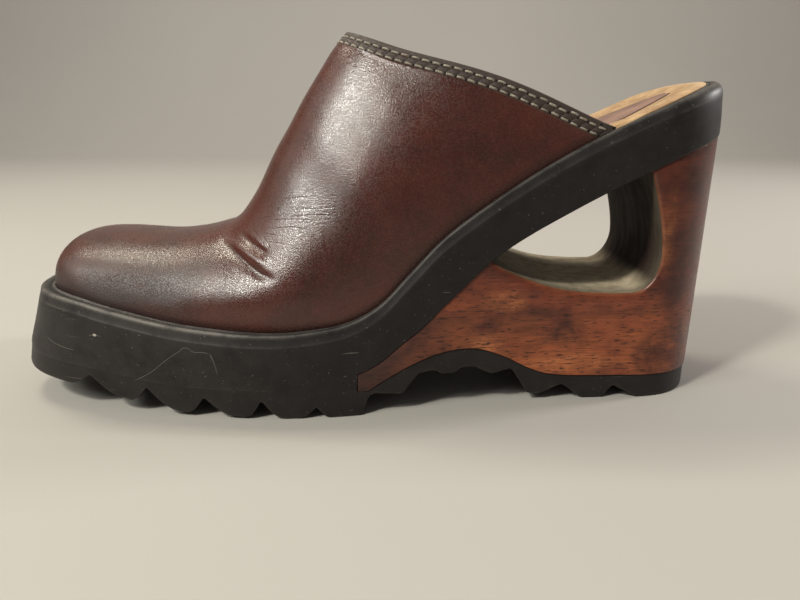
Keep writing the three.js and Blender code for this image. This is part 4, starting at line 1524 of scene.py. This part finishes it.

# %% [markdown]
# ### Rubber
# Black sole rubber is satin, never quite black, and shows every rub. Worn corners go grey, and on the
# platform's bevel, rim and groove that grey also paints a highlight. Pale specks of dust sit on the side
# walls. Short fine scratches are stretched noise, laid in two directions. A few long ones, one with a hooked
# end, and a small white chip have places of their own.

# %% Rubber
PLATFORM_SCRATCHES = [
    [
        (50.7, 11.8), (57.9, 15.8), (63.4, 20.2), (68.4, 23.7),
        (71.3, 25.3), (73.6, 24.0), (78.0, 23.8), (79.8, 22.6),
    ],
    [(36.6, 27.2), (38.7, 27.9), (41.2, 27.4)],
    [(18.0, 24.5), (25.0, 22.2), (30.0, 21.6)],
]
WHITE_CHIP = (38.9, 27.9, 0.7, 0.5)
HOOKED_END = [(79.2, 23.3), (80.2, 21.0), (81.3, 15.7)]
RUBBER = {
    # The third colour of each rubber is its rubbed grey; on the platform's edges it also paints a highlight.
    "platform": (shade(17, 13, 14), shade(28, 23, 24), shade(112, 106, 99)),
    "tread": (shade(21, 18, 18), shade(35, 30, 29), shade(74, 68, 64)),
    "scratch": shade(128, 121, 112),
    "dust": shade(172, 166, 154),
}
DUSTY = 0.2


def scratches(tree, place):
    laid = [
        noise(tree, stretched(tree, place, (60.0, 60.0, 1300.0), (0.0, turn, 0.0)), 1.0, 1.0, 0.4, 0.2)
        for turn in (0.35, -0.8)
    ]
    patchy = window(tree, noise(tree, place, 48.0, 2.0), 0.5, 0.62)
    short = larger(tree, window(tree, laid[0], 0.76, 0.79), window(tree, laid[1], 0.76, 0.79))
    short = times(tree, short, patchy)
    scratch = larger(tree, short, fine_lines(tree, place, PLATFORM_SCRATCHES, 0.22, 0.08))
    return larger(tree, scratch, fine_line(tree, place, HOOKED_END, 0.9, 0.1))


def rubber_finish(name, dark, light, worn):
    material, tree, shader, place = new_finish(name, IOR=1.34)
    cloud = noise(tree, place, 55.0, 5.0, 0.65)
    color = tint(tree, window(tree, cloud, 0.3, 0.72), dark, light)
    # The pale mark is rubbing, and on the platform's edges also a painted highlight.
    rub_and_edge_highlight = mark(tree, "wear")
    uneven = window(tree, noise(tree, place, 130.0, 4.0, 0.7), 0.28, 0.62, 0.25, 1.0)
    rub_and_edge_highlight = times(tree, rub_and_edge_highlight, uneven)
    color = tint(tree, times(tree, rub_and_edge_highlight, 0.7), color, worn)
    scratch = scratches(tree, place)
    color = tint(tree, times(tree, scratch, 0.4), color, RUBBER["scratch"])
    speck = window(tree, noise(tree, place, 1500.0, 1.0, 0.4), 0.735, 0.78)
    speck = times(tree, speck, DUSTY)
    speck = larger(tree, speck, soft_spot(tree, place, *WHITE_CHIP))
    color = tint(tree, speck, color, RUBBER["dust"])
    rough = window(tree, cloud, 0.3, 0.75, 0.44, 0.58)
    rough = plus(tree, rough, times(tree, scratch, 0.2))
    bump = relief_of(tree, noise(tree, place, 38.0, 2.0), 0.5, 0.0004)
    bump = relief_of(tree, noise(tree, place, 1100.0, 3.0, 0.6), 0.25, 0.00008, bump)
    bump = relief_of(tree, times(tree, scratch, -1.0), 0.4, 0.0001, bump)
    dress(tree, shader, Base_Color=color, Roughness=rough, Normal=bump)
    return material


black_rubber = rubber_finish("black satin rubber", *RUBBER["platform"])
tread_rubber = rubber_finish("black tread rubber", *RUBBER["tread"])
platform.data.materials.append(black_rubber)
outsole.data.materials.append(tread_rubber)
print("rubber finishes ready")

# %% [markdown]
# ### Stained wood
# The wedge has a red-brown stain under a thin varnish. Its grain runs level: long soft figure, fine fibres,
# and short dark pores like dashes. Low down the stain has worn to orange, with darker blots and a few pale
# patches, and the wood is darker towards the post and at the tip. The sawn walls of the window are a second
# finish, matt and dark. Their faces that look up are paler, partly dust and partly painted light from above,
# the far part is painted in shade and the near part is painted lighter. The window's edge is rubbed pale.
# Blots and patches are soft spots: along, up, half length and half height in millimetres.

# %% Wood
DARK_STAINS = [(186, 31, 9, 6), (199, 27, 9, 5), (231, 16, 6, 12), (239, 44, 4, 9), (160, 21, 9, 4)]
WORN_PATCHES = [(203, 14, 17, 4), (178, 38, 8, 4), (172, 22, 6, 5), (233, 62, 3, 14)]
WOOD = {
    "dark": shade(76, 31, 22),
    "light": shade(130, 62, 39),
    "blot": shade(52, 18, 15),
    "cloud": shade(60, 23, 17),
    "orange": shade(182, 102, 58),
    "pale": shade(198, 122, 76),
    "fibre": shade(48, 22, 17),
    "post": shade(52, 21, 13),
    "tip": shade(44, 26, 24),
    "pore": shade(34, 17, 15),
    "rubbed": shade(150, 104, 72),
}
WOOD_GLOSS = {"IOR": 1.42, "Coat_Roughness": 0.26, "Coat_Weight": 0.12}


def wood_finish():
    material, tree, shader, place = new_finish("stained wood", **WOOD_GLOSS)
    long_figure = stretched(tree, place, (22.0, 50.0, 120.0), (0.0, 0.06, 0.0))
    figure = noise(tree, long_figure, 1.0, 4.0, 0.6, 0.5)
    fibre = noise(tree, stretched(tree, place, (110.0, 300.0, 1500.0), (0.0, 0.06, 0.0)), 1.0, 3.0, 0.6)
    pore = noise(tree, stretched(tree, place, (300.0, 700.0, 1900.0), (0.0, 0.05, 0.0)), 1.0, 1.0, 0.4)
    blotch = noise(tree, place, 46.0, 4.0, 0.62, 0.5)
    low_down = window(tree, axis_of(tree, place, "Z"), 0.012, 0.052, 1.0, 0.0)
    color = tint(tree, window(tree, figure, 0.32, 0.68), WOOD["dark"], WOOD["light"])
    uneven = noise(tree, place, 150.0, 5.0, 0.7, 0.4)
    blots, broken = soft_spots(tree, place, DARK_STAINS), window(tree, uneven, 0.3, 0.55, 0.35, 1.0)
    color = tint(tree, times(tree, times(tree, blots, broken), 0.75), color, WOOD["blot"])
    color = tint(tree, window(tree, uneven, 0.45, 0.7, 0.0, 0.5), color, WOOD["cloud"])
    worn, rubbed_off = soft_spots(tree, place, WORN_PATCHES), window(tree, uneven, 0.35, 0.6, 1.0, 0.3)
    pale = times(tree, worn, rubbed_off)
    orange = times(tree, low_down, window(tree, blotch, 0.36, 0.62))
    color = tint(tree, times(tree, orange, 0.55), color, WOOD["orange"])
    color = tint(tree, times(tree, pale, 0.7), color, WOOD["pale"])
    color = tint(tree, window(tree, fibre, 0.35, 0.75, 0.0, 0.45), color, WOOD["fibre"])
    post = window(tree, axis_of(tree, place, "Z"), 0.034, 0.058, 0.0, 0.5)
    color = tint(tree, post, color, WOOD["post"])
    tip = window(tree, axis_of(tree, place, "X"), 0.004, 0.036, 0.9, 0.0)
    color = tint(tree, tip, color, WOOD["tip"])
    dash = window(tree, pore, 0.62, 0.68)
    lower = window(tree, axis_of(tree, place, "Z"), 0.02, 0.07, 1.0, 0.35)
    dash = times(tree, dash, lower)
    color = tint(tree, times(tree, dash, 0.75), color, WOOD["pore"])
    rubbed = times(tree, mark(tree, "sanding"), window(tree, blotch, 0.3, 0.6, 0.08, 0.4))
    color = tint(tree, rubbed, color, WOOD["rubbed"])
    rough = window(tree, figure, 0.3, 0.7, 0.3, 0.42)
    rough = plus(tree, rough, times(tree, dash, 0.15))
    broad = noise(tree, stretched(tree, place, (30.0, 30.0, 60.0)), 1.0, 2.0)
    bump = relief_of(tree, broad, 0.4, 0.0003)
    bump = relief_of(tree, times(tree, dash, -1.0), 0.5, 0.0001, bump)
    bump = relief_of(tree, fibre, 0.3, 0.00006, bump)
    dress(tree, shader, Base_Color=color, Roughness=rough, Normal=bump)
    return material


# Dust paints up-facing faces as dust and light from above; the far edge is painted shade, the near edge
# painted light.
WINDOW_WALLS = {
    "dark": shade(32, 16, 12),
    "dust": shade(196, 180, 152),
    "far edge shade": shade(50, 42, 34),
    "near edge light": shade(86, 78, 66),
    "fibre": shade(22, 14, 11),
}


def window_finish():
    material, tree, shader, place = new_finish("dark window walls", IOR=1.3)
    fibre = noise(tree, stretched(tree, place, (260.0, 260.0, 90.0)), 1.0, 3.0, 0.6)
    upward = put(tree, "ShaderNodeNewGeometry", "Normal", {})
    upward = axis_of(tree, upward, "Z")
    # Faces that look up are painted paler: dust, and painted light from above.
    color = tint(tree, window(tree, upward, 0.45, 0.98), WINDOW_WALLS["dark"], WINDOW_WALLS["dust"])
    across = axis_of(tree, place, "Y")
    # Painted shade: the far part of the window is darker.
    color = tint(tree, window(tree, across, 0.0, 0.03, 0.0, 0.45), color, WINDOW_WALLS["far edge shade"])
    # Painted light: the near part of the window, which turns towards the viewer, is paler.
    color = tint(tree, window(tree, across, -0.012, -0.034, 0.0, 0.88), color, WINDOW_WALLS["near edge light"])
    color = tint(tree, window(tree, fibre, 0.35, 0.75, 0.0, 0.4), color, WINDOW_WALLS["fibre"])
    rough = window(tree, fibre, 0.3, 0.75, 0.75, 0.92)
    bump = relief_of(tree, fibre, 0.4, 0.0002)
    dress(tree, shader, Base_Color=color, Roughness=rough, Normal=bump)
    return material


wood = wood_finish()
wedge.data.materials.append(wood)
wedge.data.materials.append(window_finish())
inside_window = np.zeros(len(wedge.data.vertices))
wedge.data.attributes["window"].data.foreach_get("value", inside_window)
for face in wedge.data.polygons:
    face.material_index = int(min(inside_window[v] for v in face.vertices) > 0.5)
print("wood:", len(wood.node_tree.nodes), "nodes")

# %% [markdown]
# ### Suede, pad leather and thread
# Suede is brushed leather: matt, with a nap that lightens where it lies one way. The pad is thin smooth
# leather, darker at its edge. Thread is waxed and twisted.

# %% Suede
SUEDE = {"dark": shade(144, 113, 82), "light": shade(194, 163, 124), "fuzz": shade(132, 92, 60)}
SUEDE_SHEEN = {"Sheen_Weight": 0.5, "Sheen_Roughness": 0.45, "Sheen_Tint": shade(230, 205, 175)}


def suede_finish():
    material, tree, shader, place = new_finish("tan suede", **SUEDE_SHEEN, IOR=1.4)
    nap = noise(tree, place, 150.0, 5.0, 0.75, 0.3)
    fuzz = noise(tree, place, 2600.0, 3.0, 0.7)
    color = tint(tree, window(tree, nap, 0.32, 0.7), SUEDE["dark"], SUEDE["light"])
    color = tint(tree, window(tree, fuzz, 0.3, 0.75, 0.0, 0.45), color, SUEDE["fuzz"])
    bump = relief_of(tree, nap, 0.4, 0.0003)
    bump = relief_of(tree, fuzz, 0.6, 0.00012, bump)
    rough = window(tree, fuzz, 0.3, 0.8, 0.86, 0.97)
    dress(tree, shader, Base_Color=color, Roughness=rough, Normal=bump)
    return material


PAD_LEATHER = {"dark": shade(106, 78, 68), "light": shade(138, 106, 92), "rim": shade(74, 53, 45)}


def pad_finish():
    material, tree, shader, place = new_finish("mauve brown pad leather", IOR=1.45)
    cloud = noise(tree, place, 90.0, 4.0, 0.6)
    grain = pebbles(tree, place, 1500.0)
    color = tint(tree, window(tree, cloud, 0.3, 0.7), PAD_LEATHER["dark"], PAD_LEATHER["light"])
    color = tint(tree, mark(tree, "rim"), color, PAD_LEATHER["rim"])
    rough = window(tree, cloud, 0.3, 0.7, 0.48, 0.62)
    bump = relief_of(tree, times(tree, grain, -1.0), 0.3, 0.00008)
    dress(tree, shader, Base_Color=color, Roughness=rough, Normal=bump)
    return material


suede, pad_leather = suede_finish(), pad_finish()
insole.data.materials.append(suede)
heel_pad.data.materials.append(pad_leather)
print("suede and pad leather ready")

# %% Thread and painted shade of needle holes
THREAD = {"dark": shade(94, 86, 76), "light": shade(156, 147, 131), "soil": shade(96, 76, 60)}
# The needle holes' dark colours are painted shade.
HOLE_SHADE = {"dark": shade(14, 8, 7), "light": shade(30, 16, 14)}


def thread_finish():
    material, tree, shader, place = new_finish("waxed beige thread", IOR=1.45, Sheen_Weight=0.2)
    twist = noise(tree, place, 2400.0, 2.0, 0.6)
    soil = noise(tree, place, 220.0, 2.0)
    color = tint(tree, window(tree, twist, 0.3, 0.7), THREAD["dark"], THREAD["light"])
    color = tint(tree, window(tree, soil, 0.45, 0.75, 0.0, 0.5), color, THREAD["soil"])
    bump = relief_of(tree, twist, 0.6, 0.0001)
    rough = window(tree, twist, 0.3, 0.8, 0.55, 0.75)
    dress(tree, shader, Base_Color=color, Roughness=rough, Normal=bump)
    return material


def hole_shade_finish():
    material, tree, shader, place = new_finish("painted needle hole shade", IOR=1.4)
    color = tint(tree, noise(tree, place, 900.0), HOLE_SHADE["dark"], HOLE_SHADE["light"])
    rough = window(tree, noise(tree, place, 500.0), 0.3, 0.7, 0.7, 0.9)
    dress(tree, shader, Base_Color=color, Roughness=rough)
    return material


thread = thread_finish()
stitches = sew(
    "topline_stitches",
    seam_points("stitch places", [seam_path(distance, 0.5) for distance in SEAMS]),
    thread_item(), 1.0, 0.06, thread,
)
# Dark discs painted as the shade in the needle holes.
hole_shades = sew(
    "needle_holes",
    seam_points("hole places", [seam_path(distance, 0.0) for distance in SEAMS]),
    hole_shade_disc(), 1.0, 0.12, hole_shade_finish(),
)

# %% [markdown]
# ## Putting the shoe together
# Each dressed piece rides on the shoe's one body and stands for the CAD solid under it, which is hidden.

# %% Pieces and bodies
for piece, nodes, material_slot in (
    (platform, ["platform"], "platform_rubber"),
    (outsole, ["outsole"], "tread_rubber"),
    (wedge, ["wedge_heel"], "wedge_wood"),
    (upper, ["upper"], "upper_leather"),
    (insole, ["insole"], "insole_suede"),
    (heel_pad, ["heel_pad"], "pad_leather"),
    (stitches, [], None),
    (hole_shades, [], None),
):
    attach(piece, "root")
    if nodes:
        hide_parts(*nodes)
print("pieces:", platform.name, outsole.name, wedge.name, upper.name, insole.name, heel_pad.name)

# %% [markdown]
# ## Floor, light and camera
# The shoe stands on a plain pale floor that bends up into a wall far behind. A warm panel overhead draws
# the light along the toe's shoulder, a cooler one and a small lamp at the front left draw the instep, and
# one at the right catches the heel's rim and the back of the wood. Two weak large panels soften the
# shadows, and the last panel washes only the wall behind.
# The camera has the photograph's angle: level with the shoe's side and 16 degrees down.

# %% Floor
FLOOR_END, WALL_BEND = 1.2, 0.8


def floor_sweep():
    turn = np.linspace(0.1, math.pi / 2, 16)
    profile = [(-3.0, 0.0), (FLOOR_END, 0.0)]
    profile += [(FLOOR_END + WALL_BEND * math.sin(a), WALL_BEND - WALL_BEND * math.cos(a)) for a in turn]
    profile.append((FLOOR_END + WALL_BEND, 3.5))
    points = [(x, y, z) for y, z in profile for x in (-5.0, 5.0)]
    faces = [(2 * i, 2 * i + 1, 2 * i + 3, 2 * i + 2) for i in range(len(profile) - 1)]
    sweep = helper("studio floor", points, faces)
    sweep.data.polygons.foreach_set("use_smooth", [True] * len(faces))
    material, tree, shader, place = new_finish("pale floor", IOR=1.4)
    color = tint(tree, noise(tree, place, 3.0, 2.0), shade(160, 155, 149), shade(164, 159, 153))
    dress(tree, shader, Base_Color=color)
    shader.inputs["Roughness"].default_value = 0.75
    sweep.data.materials.append(material)
    return sweep


floor = floor_sweep()
print("floor at z =", floor.data.vertices[0].co.z)

# %% Lights
def panel(name, place, target, size, power, colour):
    light = bpy.data.lights.new(name, "AREA")
    light.shape, light.size, light.size_y = "RECTANGLE", size[0], size[1]
    light.energy, light.color = power, colour
    lamp = bpy.data.objects.new(name, light)
    bpy.context.scene.collection.objects.link(lamp)
    lamp.location = place
    lamp.rotation_euler = (Vector(target) - Vector(place)).to_track_quat("-Z", "Y").to_euler()


PANELS = (
    ("ceiling panel", (-0.5, 0.37, 1.14), (-0.02, 0, 0.06), (0.36, 0.15), 6.8, (1.0, 0.93, 0.75)),
    ("window panel", (-0.75, -0.56, 0.78), (-0.02, 0, 0.07), (0.42, 0.38), 8.0, (0.98, 0.99, 0.93)),
    ("lamp panel", (-0.58, -0.6, 0.92), (-0.02, 0, 0.08), (0.12, 0.12), 9.0, (1.0, 0.98, 0.87)),
    ("right panel", (1.1, 0.25, 0.5), (0.1, 0, 0.09), (0.18, 0.24), 8.5, (1.0, 0.97, 0.94)),
    ("back wall panel", (-0.5, 1.3, 1.15), (-0.02, 0, 0.1), (1.6, 0.9), 0.4, (1.0, 0.9, 0.74)),
    ("front wall panel", (-1.25, 0.15, 1.0), (-0.02, 0, 0.08), (0.9, 0.9), 2.2, (0.9, 1.0, 0.88)),
    ("wall wash", (0.0, 0.8, 1.7), (0.0, 2.0, 0.5), (3.0, 0.4), 26.0, (1.0, 0.97, 0.92)),
)
for row in PANELS:
    panel(*row)
print(len(PANELS), "panels")

# %% Air and camera
world = bpy.data.worlds.new("studio air")
world.use_nodes = True
air = world.node_tree.nodes["Background"]
air.inputs["Color"].default_value = (0.86, 0.83, 0.8, 1.0)
air.inputs["Strength"].default_value = 0.22
bpy.context.scene.world = world
CAMERA_DOWN = 16.3
camera = bpy.data.objects.new("camera", bpy.data.cameras.new("camera"))
bpy.context.scene.collection.objects.link(camera)
camera.location = (0.014, -0.246, 0.1005)
camera.rotation_euler = (math.radians(90 - CAMERA_DOWN), 0, 0)
camera.data.lens = 29.11
camera.data.sensor_width = 36.0
camera.data.sensor_fit = "HORIZONTAL"
camera.data.clip_start = 0.01
bpy.context.scene.camera = camera
bpy.context.scene.view_settings.view_transform = "Standard"
print("camera lens", camera.data.lens)
